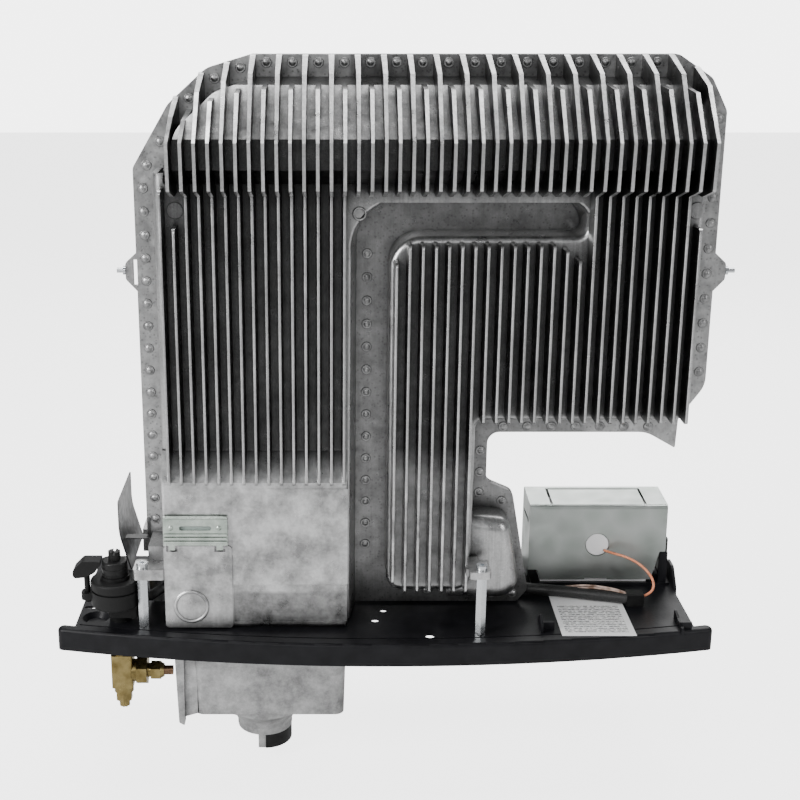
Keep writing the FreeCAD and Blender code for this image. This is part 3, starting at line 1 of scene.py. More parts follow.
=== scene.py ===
# %% [markdown]
# # Finned gas-heater core
# The assembly comes in first, as a fixed frame: two ribbed castings on a bowed black plate, with
# a gas valve, an igniter box and an air intake. Everything below gives those parts their finishes and
# lays the soft cords as splines. No rigid part changes its shape, and the lines on the label are part of
# its finish.

# %% load the assembly
import math

import bpy
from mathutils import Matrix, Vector


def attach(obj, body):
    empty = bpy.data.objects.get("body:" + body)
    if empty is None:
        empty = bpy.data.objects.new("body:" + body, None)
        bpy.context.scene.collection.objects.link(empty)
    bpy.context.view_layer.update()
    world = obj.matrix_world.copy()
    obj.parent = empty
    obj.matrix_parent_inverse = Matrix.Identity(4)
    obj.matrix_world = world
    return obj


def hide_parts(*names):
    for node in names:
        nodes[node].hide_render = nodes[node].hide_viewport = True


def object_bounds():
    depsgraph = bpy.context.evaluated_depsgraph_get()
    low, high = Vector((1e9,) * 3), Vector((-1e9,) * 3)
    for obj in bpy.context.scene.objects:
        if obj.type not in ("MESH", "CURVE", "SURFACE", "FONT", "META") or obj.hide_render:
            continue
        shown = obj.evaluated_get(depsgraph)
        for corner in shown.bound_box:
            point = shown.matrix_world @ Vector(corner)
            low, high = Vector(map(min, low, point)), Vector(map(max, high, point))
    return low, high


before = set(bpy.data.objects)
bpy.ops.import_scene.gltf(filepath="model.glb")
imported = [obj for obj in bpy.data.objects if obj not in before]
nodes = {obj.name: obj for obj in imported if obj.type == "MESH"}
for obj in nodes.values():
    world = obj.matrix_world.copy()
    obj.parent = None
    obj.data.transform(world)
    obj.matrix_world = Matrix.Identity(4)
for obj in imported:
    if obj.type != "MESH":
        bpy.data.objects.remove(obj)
cad_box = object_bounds()
MM = 0.001
print("assembly box", cad_box)


# %% [markdown]
# ## Helpers
# A new piece always starts from an empty selection, because the loaded parts stay selected and an
# operator acts on everything that is selected. When a piece is done its transform is applied, so that
# its object sits at the origin, as every loaded part does.

# %% selection and transforms
def only(obj):
    """Select one object and make it active."""
    bpy.ops.object.select_all(action="DESELECT")
    obj.select_set(True)
    bpy.context.view_layer.objects.active = obj


def fresh():
    """Clear the selection before adding a primitive."""
    bpy.ops.object.select_all(action="DESELECT")


def settle(obj, name):
    """Name a piece and move its place into its mesh."""
    only(obj)
    obj.name = name
    obj.data.name = name
    bpy.ops.object.transform_apply(location=True, rotation=True, scale=True)
    return obj


# %% [markdown]
# ## Camera
# The camera stands in front of the core, a little above its top edge, and looks down at it. The lens
# shift moves the core to the middle of the frame without turning the camera, so upright edges keep
# the same lean that they have in the studio.

# %% camera
EYE = (-0.045, -1.105, 0.5396)      # metres
LOOK_DOWN = 17.0                    # degrees below level
SENSOR_WIDTH = 36.0                 # millimetres
LENS = 63.18                        # millimetres
SIDE_SHIFT = 0.085625               # share of the frame's width
camera_data = bpy.data.cameras.new("studio_camera")
camera = bpy.data.objects.new("studio_camera", camera_data)
bpy.context.scene.collection.objects.link(camera)
camera.location = EYE
camera.rotation_euler = (math.radians(90 - LOOK_DOWN), 0, 0)
camera_data.sensor_width = SENSOR_WIDTH
camera_data.lens = LENS
camera_data.shift_x = SIDE_SHIFT
bpy.context.scene.camera = camera
print("camera lens", round(camera_data.lens, 1), "shift", round(camera_data.shift_x, 4))

# %% [markdown]
# ## Floor and light
# The air intake hangs under the plate, so the floor lies just below it. Bare metal shows what it
# reflects: one strong soft light on the left gives each fin a bright left flank and edge, and a dim
# world leaves the right flanks and the valleys dark. The ground should still be nearly white. A Light
# Path node tells the rays that come from the camera from all others, so the floor and the backdrop are
# bright only to the camera and hardly light the metal.

# %% floor
FLOOR_SIZE = 8.0
FLOOR_Z = cad_box[0][2] - 0.012     # 12 mm below the lowest part
FLOOR_GLOW = (0.2, 3.2)             # to all other rays, and to the camera's own
fresh()
bpy.ops.mesh.primitive_plane_add(size=FLOOR_SIZE, location=(0, 1.0, FLOOR_Z))
floor = settle(bpy.context.active_object, "studio_floor")
floor_mat = bpy.data.materials.new("pale_floor")
floor_mat.use_nodes = True
floor_shader = floor_mat.node_tree.nodes["Principled BSDF"]
floor_shader.inputs["Base Color"].default_value = (0.55, 0.55, 0.55, 1)
floor_shader.inputs["Roughness"].default_value = 0.7
floor_shader.inputs["Emission Color"].default_value = (1, 1, 1, 1)
eye_ray = floor_mat.node_tree.nodes.new("ShaderNodeLightPath")
glow = floor_mat.node_tree.nodes.new("ShaderNodeMapRange")
glow.inputs["To Min"].default_value = FLOOR_GLOW[0]
glow.inputs["To Max"].default_value = FLOOR_GLOW[1]
floor_mat.node_tree.links.new(eye_ray.outputs["Is Camera Ray"], glow.inputs["Value"])
floor_mat.node_tree.links.new(glow.outputs["Result"], floor_shader.inputs["Emission Strength"])
floor.data.materials.append(floor_mat)


# %% lights
def soft_light(name, place, target, width, height, power):
    """Rectangular soft light that points at a target."""
    data = bpy.data.lights.new(name, "AREA")
    data.shape = "RECTANGLE"
    data.size = width
    data.size_y = height
    data.energy = power
    lamp = bpy.data.objects.new(name, data)
    bpy.context.scene.collection.objects.link(lamp)
    lamp.location = place
    aim = Vector(target) - Vector(place)
    lamp.rotation_euler = aim.to_track_quat("-Z", "Y").to_euler()


MIDDLE = (0.0, 0.0, 0.22)
soft_light("key_light", (-1.5, -1.1, 1.0), MIDDLE, 0.6, 1.3, 44)
soft_light("front_light", (-0.3, -2.0, 1.1), MIDDLE, 0.8, 0.6, 8)
soft_light("fill_light", (1.5, -1.1, 0.9), MIDDLE, 0.5, 1.2, 9)
soft_light("top_light", (0.0, 0.1, 1.6), MIDDLE, 1.4, 0.6, 22)
soft_light("back_light", (0.3, 1.6, 1.2), MIDDLE, 1.6, 1.0, 24)

WORLD_STRENGTH = 0.30               # what the metal reflects
BACKDROP_STRENGTH = 5.0             # what the camera sees
world = bpy.data.worlds.new("studio_world")
bpy.context.scene.world = world
world.use_nodes = True
surroundings = world.node_tree.nodes["Background"]
surroundings.inputs["Color"].default_value = (0.93, 0.94, 0.95, 1)
surroundings.inputs["Strength"].default_value = WORLD_STRENGTH
backdrop = world.node_tree.nodes.new("ShaderNodeBackground")
backdrop.inputs["Color"].default_value = (1, 1, 1, 1)
backdrop.inputs["Strength"].default_value = BACKDROP_STRENGTH
ray_kind = world.node_tree.nodes.new("ShaderNodeLightPath")
either = world.node_tree.nodes.new("ShaderNodeMixShader")
world_end = world.node_tree.nodes["World Output"]
world.node_tree.links.new(ray_kind.outputs["Is Camera Ray"], either.inputs[0])
world.node_tree.links.new(surroundings.outputs["Background"], either.inputs[1])
world.node_tree.links.new(backdrop.outputs["Background"], either.inputs[2])
world.node_tree.links.new(either.outputs["Shader"], world_end.inputs["Surface"])
print("world", WORLD_STRENGTH, "backdrop", BACKDROP_STRENGTH)


# %% [markdown]
# ## Finishes
# Each finish is a small graph on object coordinates, in metres, so a grain of 2 mm stays 2 mm on every
# part. The helper below makes the shader; the finishes then add colour, roughness and relief.

# %% finish helper
class Finish:
    """A material with short names for the nodes that the finishes share."""

    def __init__(self, name, color, metallic=0.0, roughness=0.5):
        self.mat = bpy.data.materials.new(name)
        self.mat.use_nodes = True
        self.tree = self.mat.node_tree
        self.shader = self.tree.nodes["Principled BSDF"]
        self.shader.inputs["Base Color"].default_value = (*color, 1)
        self.shader.inputs["Metallic"].default_value = metallic
        self.shader.inputs["Roughness"].default_value = roughness
        self.place = self.tree.nodes.new("ShaderNodeTexCoord").outputs["Object"]

    def link(self, output, target):
        self.tree.links.new(output, target)

    def scaled(self, x, y, z):
        """Object coordinates, stretched along the axes."""
        node = self.tree.nodes.new("ShaderNodeMapping")
        node.inputs["Scale"].default_value = (x, y, z)
        self.link(self.place, node.inputs["Vector"])
        return node.outputs["Vector"]

    def noise(self, scale, detail=4.0, rough=0.55, vector=None):
        node = self.tree.nodes.new("ShaderNodeTexNoise")
        node.inputs["Scale"].default_value = scale
        node.inputs["Detail"].default_value = detail
        node.inputs["Roughness"].default_value = rough
        self.link(vector or self.place, node.inputs["Vector"])
        return node.outputs["Fac"]

    def cells(self, scale):
        node = self.tree.nodes.new("ShaderNodeTexVoronoi")
        node.inputs["Scale"].default_value = scale
        self.link(self.place, node.inputs["Vector"])
        return node.outputs["Distance"]

    def ramp(self, value, stops):
        """Colour ramp from (position, grey or colour) stops."""
        node = self.tree.nodes.new("ShaderNodeValToRGB")
        marks = node.color_ramp.elements
        while len(marks) < len(stops):
            marks.new(0.5)
        for mark, (spot, tone) in zip(marks, stops):
            mark.position = spot
            rgb = (tone, tone, tone) if isinstance(tone, float) else tone
            mark.color = (*rgb, 1)
        self.link(value, node.inputs["Fac"])
        return node.outputs["Color"]

    def blend(self, mode, amount, first, second):
        """Mix two colours. Amount, first and second are outputs or constants."""
        node = self.tree.nodes.new("ShaderNodeMix")
        node.data_type = "RGBA"
        node.blend_type = mode
        for name, value in (("Factor", amount), ("A", first), ("B", second)):
            sockets = [s for s in node.inputs if s.name == name and s.enabled]
            socket = sockets[0] if name == "Factor" else sockets[-1]
            if hasattr(value, "is_linked"):
                self.link(value, socket)
            elif name == "Factor":
                socket.default_value = value
            else:
                socket.default_value = (*value, 1)
        return [s for s in node.outputs if s.enabled][0]

    def math(self, kind, first, second=0.0):
        node = self.tree.nodes.new("ShaderNodeMath")
        node.operation = kind
        for socket, value in zip(node.inputs, (first, second)):
            if hasattr(value, "is_linked"):
                self.link(value, socket)
            else:
                socket.default_value = value
        return node.outputs["Value"]

    def hollow(self, reach):
        """1 where the surface is open, lower in corners and valleys."""
        node = self.tree.nodes.new("ShaderNodeAmbientOcclusion")
        node.inputs["Distance"].default_value = reach
        node.samples = 8
        return node.outputs["AO"]

    def axis(self, letter):
        """One object coordinate, in metres."""
        node = self.tree.nodes.new("ShaderNodeSeparateXYZ")
        self.link(self.place, node.inputs["Vector"])
        return node.outputs[letter]

    def span(self, value, low, high, to_low=0.0, to_high=1.0):
        """Map a value's range onto another, clamped."""
        node = self.tree.nodes.new("ShaderNodeMapRange")
        ends = {"From Min": low, "From Max": high, "To Min": to_low, "To Max": to_high}
        for key, number in ends.items():
            node.inputs[key].default_value = number
        self.link(value, node.inputs["Value"])
        return node.outputs["Result"]

    def relief(self, height, strength, distance):
        node = self.tree.nodes.new("ShaderNodeBump")
        node.inputs["Strength"].default_value = strength
        node.inputs["Distance"].default_value = distance
        self.link(height, node.inputs["Height"])
        self.link(node.outputs["Normal"], self.shader.inputs["Normal"])

    def color_from(self, output):
        self.link(output, self.shader.inputs["Base Color"])

    def rough_from(self, output):
        self.link(output, self.shader.inputs["Roughness"])


def dress(names, finish):
    """Give loaded parts a finish in all their slots."""
    for name in names:
        data = nodes[name].data
        data.materials.clear()
        data.materials.append(finish.mat)


# %% [markdown]
# ### Cast aluminium
# Pressure-cast metal is painted darker deep between the fins, down to near black, as painted shade; the
# fin edges keep the full tone. The painted shade follows how closed in a spot is, so it is driven by
# ambient occlusion. Fine upright streaks come from the draft of the die, so their noise is stretched
# along Z. The flange and the burner housing have tones of their own, and the groove's darker tone is
# painted shade;
# ranges of X, Y and Z say where each of them holds. The air intake is a paler and more matt casting.

# %% cast aluminium
cast = Finish("cast_aluminium", (0.6, 0.6, 0.6), metallic=1.0, roughness=0.34)
blotches = cast.ramp(cast.noise(22, 6, 0.6), [(0.30, 0.50), (0.72, 0.86)])
grain = cast.ramp(cast.noise(520, 3, 0.6), [(0.30, 0.78), (0.70, 1.0)])
streaks = cast.noise(1.0, 5, 0.6, cast.scaled(420, 420, 9))
streak_tone = cast.ramp(streaks, [(0.32, 0.66), (0.66, 1.0)])
# painted shade: the colour falls to near black where ambient occlusion finds a spot closed, between the
# fins
valley_painted_shade = cast.ramp(cast.hollow(0.022), [(0.16, 0.035), (0.42, 0.22), (0.68, 0.66), (0.92, 1.0)])
tone = cast.blend("MULTIPLY", 1.0, blotches, grain)
tone = cast.blend("MULTIPLY", 0.8, tone, streak_tone)
tone = cast.blend("MULTIPLY", 1.0, tone, valley_painted_shade)

FLANGE_Y = (-0.0016, -0.0006)       # the flange's front face lies at 0
speckles = cast.ramp(cast.cells(300), [(0.10, 0.25), (0.34, 1.0)])
mottle = cast.ramp(cast.noise(70, 6, 0.65), [(0.34, 0.22), (0.66, 0.56)])
flange_tone = cast.blend("MULTIPLY", 0.7, mottle, speckles)
GROOVE_LEFT = (-0.0325, -0.0295)
GROOVE_RIGHT = (0.168, 0.160)
in_groove = cast.math("MULTIPLY", cast.span(cast.axis("X"), *GROOVE_LEFT),
                      cast.span(cast.axis("X"), *GROOVE_RIGHT))
# painted shade: the groove's floor is painted darker than the flange, as shade in the recess
groove_painted_shade = cast.blend("MULTIPLY", 1.0, flange_tone, (0.42, 0.42, 0.42))
flange_tone = cast.blend("MIX", in_groove, flange_tone, groove_painted_shade)
on_flange = cast.span(cast.axis("Y"), *FLANGE_Y)
tone = cast.blend("MIX", cast.math("MULTIPLY", on_flange, 0.75), tone, flange_tone)

HOUSING_Y = (-0.0335, -0.0350)      # in front of the leg's own wall
HOUSING_TOP = (0.172, 0.146)
HOUSING_FOOT = (0.030, 0.046)
patches = cast.ramp(cast.noise(46, 7, 0.68), [(0.36, 0.26), (0.50, 0.52), (0.66, 0.82)])
on_housing = cast.math("MULTIPLY", cast.span(cast.axis("Y"), *HOUSING_Y),
                       cast.span(cast.axis("Z"), *HOUSING_TOP))
foot_band = cast.span(cast.axis("Z"), *HOUSING_FOOT, 0.35, 0.85)
tone = cast.blend("MIX", cast.math("MULTIPLY", on_housing, foot_band), tone, patches)
SOOT_X = (-0.127, -0.123)           # the housing's foot, right of the window panel, is darker
SOOT_Y = (-0.0450, -0.0470)
SOOT_Z = (0.053, 0.050)
soot = cast.math("MULTIPLY", cast.span(cast.axis("Z"), *SOOT_Z), cast.span(cast.axis("X"), *SOOT_X))
soot = cast.math("MULTIPLY", soot, cast.span(cast.axis("Y"), *SOOT_Y))
soot_tone = cast.ramp(cast.noise(90, 6, 0.7), [(0.34, 0.10), (0.66, 0.40)])
tone = cast.blend("MIX", cast.math("MULTIPLY", soot, 0.85), tone, soot_tone)
cast.color_from(tone)
cast.rough_from(cast.ramp(cast.noise(90, 5), [(0.3, 0.24), (0.7, 0.46)]))
skin = cast.math("ADD", cast.math("MULTIPLY", cast.noise(700, 4), 0.5),
                 cast.math("MULTIPLY", streaks, 0.6))
cast.relief(skin, 0.35, 0.0004)
dress(["front_shell", "rear_shell"], cast)
print("cast aluminium", len(cast.tree.nodes), "nodes")

pale_cast = Finish("pale_cast_aluminium", (0.6, 0.6, 0.6), metallic=0.85, roughness=0.5)
pale_tone = pale_cast.ramp(pale_cast.noise(60, 7, 0.7), [(0.32, 0.26), (0.5, 0.46), (0.68, 0.66)])
pale_grain = pale_cast.ramp(pale_cast.noise(700, 3), [(0.3, 0.86), (0.7, 1.0)])
# painted shade: the intake is painted darker in its hollows, by ambient occlusion
pale_painted_shade = pale_cast.ramp(pale_cast.hollow(0.02), [(0.3, 0.35), (0.85, 1.0)])
pale_tone = pale_cast.blend("MULTIPLY", 1.0, pale_tone, pale_grain)
pale_cast.color_from(pale_cast.blend("MULTIPLY", 1.0, pale_tone, pale_painted_shade))
pale_cast.relief(pale_cast.noise(800, 4), 0.3, 0.0003)
dress(["intake_housing", "intake_cowl"], pale_cast)

# %% [markdown]
# ### Black enamel, castings and plastic
# The plate is enamelled sheet and the valve is a blackened casting. The valve's bonnet and coupling, the
# connector and the intake's hood are plastic. All are nearly black, so they differ in how rough they are
# and in a faint cloud of colour, because one flat black would hide their edges. The valve's casting and
# its clip have painted shade instead of a cloud: they are darker in their corners, by ambient occlusion.

# %% black finishes
enamel = Finish("black_enamel", (0.006, 0.006, 0.007), roughness=0.34)
enamel.shader.inputs["Specular IOR Level"].default_value = 0.2
ENAMEL_TONES = [(0.3, (0.004, 0.004, 0.005)), (0.75, (0.011, 0.011, 0.013))]
enamel.color_from(enamel.ramp(enamel.noise(60, 5), ENAMEL_TONES))
enamel.rough_from(enamel.ramp(enamel.noise(35, 5), [(0.3, 0.30), (0.7, 0.46)]))
enamel.relief(enamel.noise(380, 3), 0.18, 0.0004)
dress(["base_plate", "igniter_bracket"], enamel)

black_cast = Finish("black_cast", (0.012, 0.012, 0.013), roughness=0.5)
black_cast.shader.inputs["Specular IOR Level"].default_value = 0.16
# painted shade: darker in the casting's corners, by ambient occlusion
black_cast.color_from(black_cast.ramp(black_cast.hollow(0.006), [(0.3, 0.003), (0.9, 0.012)]))
black_cast.relief(black_cast.noise(900, 4), 0.4, 0.0003)
dress(["valve_body", "valve_clip"], black_cast)

black_plastic = Finish("black_plastic", (0.010, 0.010, 0.010), roughness=0.38)
black_plastic.color_from(black_plastic.ramp(black_plastic.noise(160, 3), [(0.3, 0.006), (0.7, 0.014)]))
black_plastic.shader.inputs["Specular IOR Level"].default_value = 0.22
black_plastic.relief(black_plastic.noise(1400, 2), 0.2, 0.0002)
black_plastic.rough_from(black_plastic.ramp(black_plastic.noise(200, 3), [(0.3, 0.32), (0.7, 0.5)]))
dress(["valve_bonnet", "valve_coupling", "igniter_connector", "cowl_hood"], black_plastic)

rubber = Finish("black_rubber", (0.02, 0.02, 0.02), roughness=0.7)
rubber.relief(rubber.noise(900, 3), 0.4, 0.0003)
dress(["sleeve_grommet"], rubber)

# %% [markdown]
# ### Bare and plated metals
# Zinc on sheet shows soft crystals, drawn and turned metal shows fine lines along the way it was worked,
# and corners are darkened with painted shade. The crystals come from Voronoi cells, the lines from noise
# that is stretched along one axis, and the painted shade from ambient occlusion.

# %% bare and plated metals
zinc = Finish("galvanised_sheet", (0.66, 0.69, 0.67), metallic=0.9, roughness=0.34)
spangle = zinc.ramp(zinc.cells(55), [(0.1, (0.40, 0.44, 0.41)), (0.8, (0.52, 0.55, 0.53))])
cloud = zinc.ramp(zinc.noise(24, 5), [(0.3, 0.88), (0.7, 1.0)])
# painted shade: the cover's corners are darkened to near black by ambient occlusion
zinc_painted_shade = zinc.ramp(zinc.hollow(0.0030), [(0.42, 0.03), (0.62, 1.0)])
zinc_tone = zinc.blend("MULTIPLY", 1.0, spangle, cloud)
zinc.color_from(zinc.blend("MULTIPLY", 1.0, zinc_tone, zinc_painted_shade))
zinc.rough_from(zinc.ramp(zinc.noise(70, 4), [(0.3, 0.30), (0.7, 0.44)]))
zinc.relief(zinc.noise(1.0, 4, 0.6, zinc.scaled(60, 900, 900)), 0.08, 0.0002)
dress(["igniter_cover"], zinc)

sight_zinc = Finish("window_clip_zinc", (0.5, 0.55, 0.5), metallic=0.9, roughness=0.3)
SIGHT_TONES = [(0.3, (0.40, 0.46, 0.41)), (0.7, (0.66, 0.72, 0.66))]
sight_tone = sight_zinc.ramp(sight_zinc.noise(120, 5), SIGHT_TONES)
# painted shade: the clip's pockets and corners are darkened by ambient occlusion
clip_painted_shade = sight_zinc.ramp(sight_zinc.hollow(0.003), [(0.35, (0.06, 0.09, 0.07)), (0.85, 1.0)])
sight_zinc.color_from(sight_zinc.blend("MULTIPLY", 1.0, sight_tone, clip_painted_shade))
sight_zinc.rough_from(sight_zinc.ramp(sight_zinc.noise(300, 3), [(0.3, 0.24), (0.7, 0.42)]))
sight_zinc.relief(sight_zinc.noise(900, 3), 0.12, 0.0002)
dress(["window_clip"], sight_zinc)

shield = Finish("heat_shield_steel", (0.3, 0.3, 0.3), metallic=1.0, roughness=0.36)
SHIELD_Z = (0.060, 0.120)           # the sheet is darker towards its foot
SHIELD_TONES = [(0.0, 0.05), (0.45, 0.10), (1.0, 0.20)]
shield_fall = shield.ramp(shield.span(shield.axis("Z"), *SHIELD_Z), SHIELD_TONES)
shield_cloud = shield.ramp(shield.noise(40, 5), [(0.3, 0.78), (0.7, 1.0)])
shield.color_from(shield.blend("MULTIPLY", 1.0, shield_fall, shield_cloud))
shield.rough_from(shield.ramp(shield.noise(160, 4), [(0.3, 0.28), (0.7, 0.46)]))
shield.relief(shield.noise(1.0, 4, 0.6, shield.scaled(60, 900, 900)), 0.1, 0.0002)
dress(["heat_shield"], shield)

plated = Finish("bright_zinc", (0.66, 0.68, 0.70), metallic=1.0, roughness=0.2)
plated.rough_from(plated.ramp(plated.noise(300, 4), [(0.3, 0.14), (0.7, 0.3)]))
plated.relief(plated.noise(1.0, 3, 0.5, plated.scaled(900, 900, 90)), 0.15, 0.0002)
dress(["standoff_posts", "standoff_screws", "side_stud_left", "side_stud_right", "intake_screws",
       "flue_screws"], plated)

pin_metal = Finish("pin_heads", (0.5, 0.5, 0.5), metallic=1.0, roughness=0.4)
pin_tone = pin_metal.ramp(pin_metal.noise(160, 4), [(0.3, 0.20), (0.7, 0.46)])
# painted shade: darker where each pin meets the casting, by ambient occlusion
pin_painted_shade = pin_metal.ramp(pin_metal.hollow(0.003), [(0.45, 0.12), (0.9, 1.0)])
pin_metal.color_from(pin_metal.blend("MULTIPLY", 1.0, pin_tone, pin_painted_shade))
pin_metal.relief(pin_metal.noise(900, 3), 0.4, 0.0003)
dress(["clinch_pins"], pin_metal)

steel = Finish("satin_steel", (0.55, 0.54, 0.53), metallic=1.0, roughness=0.3)
steel.color_from(steel.ramp(steel.noise(80, 4), [(0.3, 0.46), (0.7, 0.62)]))
steel.relief(steel.noise(1.0, 3, 0.5, steel.scaled(60, 900, 900)), 0.12, 0.0002)
dress(["flue_socket", "burner_base", "burner_tube", "burner_bracket", "valve_spring",
       "electrode_wire"], steel)

dark_pipe = Finish("blackened_pipe", (0.06, 0.06, 0.065), metallic=0.7, roughness=0.42)
dark_pipe.color_from(dark_pipe.ramp(dark_pipe.noise(140, 4), [(0.3, 0.04), (0.75, 0.11)]))
dark_pipe.relief(dark_pipe.noise(900, 3), 0.2, 0.0002)
dress(["gas_pipe"], dark_pipe)

brass = Finish("machined_brass", (0.6, 0.44, 0.2), metallic=1.0, roughness=0.3)
BRASS_TONES = [(0.3, (0.17, 0.125, 0.045)), (0.72, (0.38, 0.30, 0.13))]
brass.color_from(brass.ramp(brass.noise(90, 5), BRASS_TONES))
brass.rough_from(brass.ramp(brass.noise(400, 3), [(0.3, 0.24), (0.7, 0.44)]))
brass.relief(brass.noise(800, 3), 0.2, 0.0002)
dress(["inlet_fitting", "inlet_nut", "test_plug", "gas_pipe_nut", "gas_injector", "valve_stem"], brass)

copper = Finish("drawn_copper", (0.35, 0.2, 0.12), metallic=1.0, roughness=0.4)
COPPER_TONES = [(0.3, (0.10, 0.06, 0.04)), (0.7, (0.28, 0.17, 0.10))]
copper.color_from(copper.ramp(copper.noise(200, 4), COPPER_TONES))
dress(["inlet_pipe", "thermocouple"], copper)

# %% [markdown]
# ### Seals, ceramic, plastics, glass and print
# These materials are even, so a little noise in their colour is enough. The label's lines are drawn by
# its material: the fractional part of a coordinate gives rows, stretched noise breaks them into words,
# and two ranges keep a margin.

# %% other finishes
fibre = Finish("fibre_seal", (0.2, 0.2, 0.19), roughness=0.9)
fibre.color_from(fibre.ramp(fibre.noise(900, 4), [(0.3, 0.12), (0.7, 0.30)]))
fibre.relief(fibre.noise(1200, 3), 0.6, 0.0003)
dress(["shell_seal", "intake_seal", "flue_seal"], fibre)

ceramic = Finish("white_ceramic", (0.85, 0.84, 0.8), roughness=0.2)
ceramic.color_from(ceramic.ramp(ceramic.noise(200, 3), [(0.3, 0.78), (0.7, 0.88)]))
dress(["electrode_ceramic"], ceramic)

white_plastic = Finish("white_plastic", (0.9, 0.9, 0.88), roughness=0.4)
disc_tone = white_plastic.ramp(white_plastic.noise(60, 3), [(0.3, 0.90), (0.7, 0.97)])
# painted shade: the module's corners are darkened to near black by ambient occlusion
disc_painted_shade = white_plastic.ramp(white_plastic.hollow(0.0022), [(0.30, 0.02), (0.62, 1.0)])
white_plastic.color_from(white_plastic.blend("MULTIPLY", 1.0, disc_tone, disc_painted_shade))
white_plastic.relief(white_plastic.noise(1500, 2), 0.15, 0.0002)
dress(["igniter_module"], white_plastic)

cell_skin = Finish("battery_sleeve", (0.1, 0.12, 0.16), metallic=0.4, roughness=0.3)
CELL_TONES = [(0.165, (0.08, 0.10, 0.14)), (0.17, (0.55, 0.45, 0.2))]      # changes at X = 165 to 170 mm
cell_skin.color_from(cell_skin.ramp(cell_skin.axis("X"), CELL_TONES))
dress(["igniter_battery"], cell_skin)

orange = Finish("orange_silicone", (0.75, 0.25, 0.1), roughness=0.45)
ORANGE_TONES = [(0.3, (0.62, 0.19, 0.09)), (0.7, (0.82, 0.32, 0.17))]
orange.color_from(orange.ramp(orange.noise(300, 3), ORANGE_TONES))

wire_skin = Finish("wire_insulation", (0.35, 0.2, 0.13), roughness=0.45)
WIRE_TONES = [(0.35, (0.16, 0.09, 0.06)), (0.6, (0.62, 0.47, 0.40))]
wire_skin.color_from(wire_skin.ramp(wire_skin.noise(120, 3), WIRE_TONES))

glass = Finish("sight_glass", (0.75, 0.88, 0.82), roughness=0.08)
glass.shader.inputs["Transmission Weight"].default_value = 0.6
glass.rough_from(glass.ramp(glass.noise(120, 3), [(0.3, 0.05), (0.7, 0.18)]))
dress(["window_glass"], glass)

film = Finish("label_film", (0.86, 0.86, 0.84), roughness=0.4)
paper = film.ramp(film.noise(300, 2), [(0.3, 0.84), (0.7, 0.90)])
LINES_PER_METRE = 310.0
LINE_START = 0.52                   # share of each row that stays blank
WORD_START = 0.47                   # noise above this is printed
PRINT_X = (0.148, 0.200)
PRINT_Y = (-0.058, -0.006)
across_label = film.axis("Y")
rows = film.math("FRACT", film.math("MULTIPLY", across_label, LINES_PER_METRE))
lines = film.math("GREATER_THAN", rows, LINE_START)
words = film.math("GREATER_THAN", film.noise(1.0, 1, 0.5, film.scaled(340, 900, 1)), WORD_START)
inside_x = film.math("MULTIPLY", film.math("GREATER_THAN", film.axis("X"), PRINT_X[0]),
                     film.math("LESS_THAN", film.axis("X"), PRINT_X[1]))
inside_y = film.math("MULTIPLY", film.math("GREATER_THAN", across_label, PRINT_Y[0]),
                     film.math("LESS_THAN", across_label, PRINT_Y[1]))
inside = film.math("MULTIPLY", inside_x, inside_y)
print_mask = film.math("MULTIPLY", film.math("MULTIPLY", lines, words), inside)
film.color_from(film.blend("MIX", print_mask, paper, (0.03, 0.03, 0.03)))
dress(["rating_label"], film)
print("label lines per metre", LINES_PER_METRE)

# %% [markdown]
# ## Cords
# Four soft conductors lie in the corner by the igniter box: an orange high-voltage lead, a black
# sleeve that carries the wires along the casting, and two thin wires that slip out from under it. Each
# is one NURBS spline with a round bevel. Order 3 bends it gently at each control point.

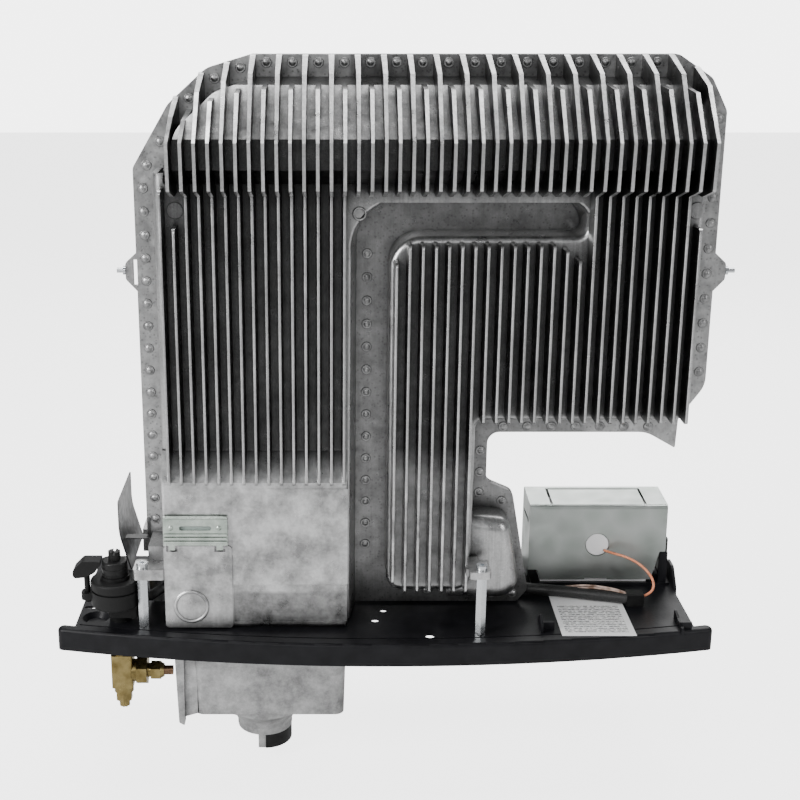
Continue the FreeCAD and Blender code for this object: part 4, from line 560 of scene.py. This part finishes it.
# %% cord helper
def lay_cord(name, node, finish, points, radius, length):
    """One cord on a smooth spline through the neighbourhood of its control points, in millimetres."""
    curve = bpy.data.curves.new(name, "CURVE")
    curve.dimensions = "3D"
    curve.bevel_depth = radius * MM
    curve.bevel_resolution = 5
    curve.resolution_u = 14
    curve.use_fill_caps = True
    spline = curve.splines.new("NURBS")
    spline.points.add(len(points) - 1)
    for mark, (x, y, z) in zip(spline.points, points):
        mark.co = (x * MM, y * MM, z * MM, 1)
    spline.order_u = 3
    spline.use_endpoint_u = True
    piece = bpy.data.objects.new(name, curve)
    bpy.context.scene.collection.objects.link(piece)
    curve.materials.append(finish.mat)
    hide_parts(node)
    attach(piece, "heater_core")
    print(name, "length", length, "mm")


# %% lay the four cords
LEAD = [
    (194.5, 35.0, 53.0),
    (200.0, 25.0, 54.6),
    (210.0, 18.0, 54.4),
    (220.5, 12.0, 50.6),
    (228.5, 6.5, 44.0),
    (232.4, 1.5, 35.8),
    (229.0, -1.6, 28.4),
    (221.0, -2.2, 26.0),
]
SLEEVE = [
    (208.6, -3.0, 24.9),
    (190.0, 2.0, 24.8),
    (164.0, 9.6, 24.7),
    (136.0, 16.4, 24.6),
    (106.0, 21.6, 24.4),
    (72.0, 23.4, 24.6),
    (38.0, 22.8, 25.0),
    (5.0, 23.4, 27.4),
    (-22.6, 22.0, 29.5),
]
WIRES = [
    [(208.6, -3.6, 28.6), (202.0, -1.6, 30.6), (190.0, 2.6, 31.0), (178.0, 6.8, 30.6),
     (167.0, 9.4, 28.6)],
    [(208.6, -0.6, 28.4), (201.0, 2.2, 30.6), (186.0, 7.6, 31.2), (170.0, 11.8, 30.6),
     (156.0, 13.2, 28.0)],
]
LEAD_RADIUS = 1.1                   # millimetres, as the lengths below are
SLEEVE_RADIUS = 5.0
WIRE_RADIUS = 0.9
sleeve_skin = Finish("black_sleeving", (0.012, 0.012, 0.012), roughness=0.5)
weave = sleeve_skin.noise(1.0, 2, 0.5, sleeve_skin.scaled(900, 900, 900))
sleeve_skin.color_from(sleeve_skin.ramp(weave, [(0.3, 0.006), (0.7, 0.022)]))
sleeve_skin.rough_from(sleeve_skin.ramp(sleeve_skin.noise(90, 4), [(0.3, 0.38), (0.7, 0.6)]))
sleeve_skin.relief(weave, 0.4, 0.0003)
lay_cord("orange_lead", "igniter_lead", orange, LEAD, LEAD_RADIUS, 74.2)
lay_cord("wire_sleeve", "cable_sleeve", sleeve_skin, SLEEVE, SLEEVE_RADIUS, 234.4)
lay_cord("loose_wire_front", "cable_wires", wire_skin, WIRES[0], WIRE_RADIUS, 44.0)
lay_cord("loose_wire_back", "cable_wires", wire_skin, WIRES[1], WIRE_RADIUS, 55.0)
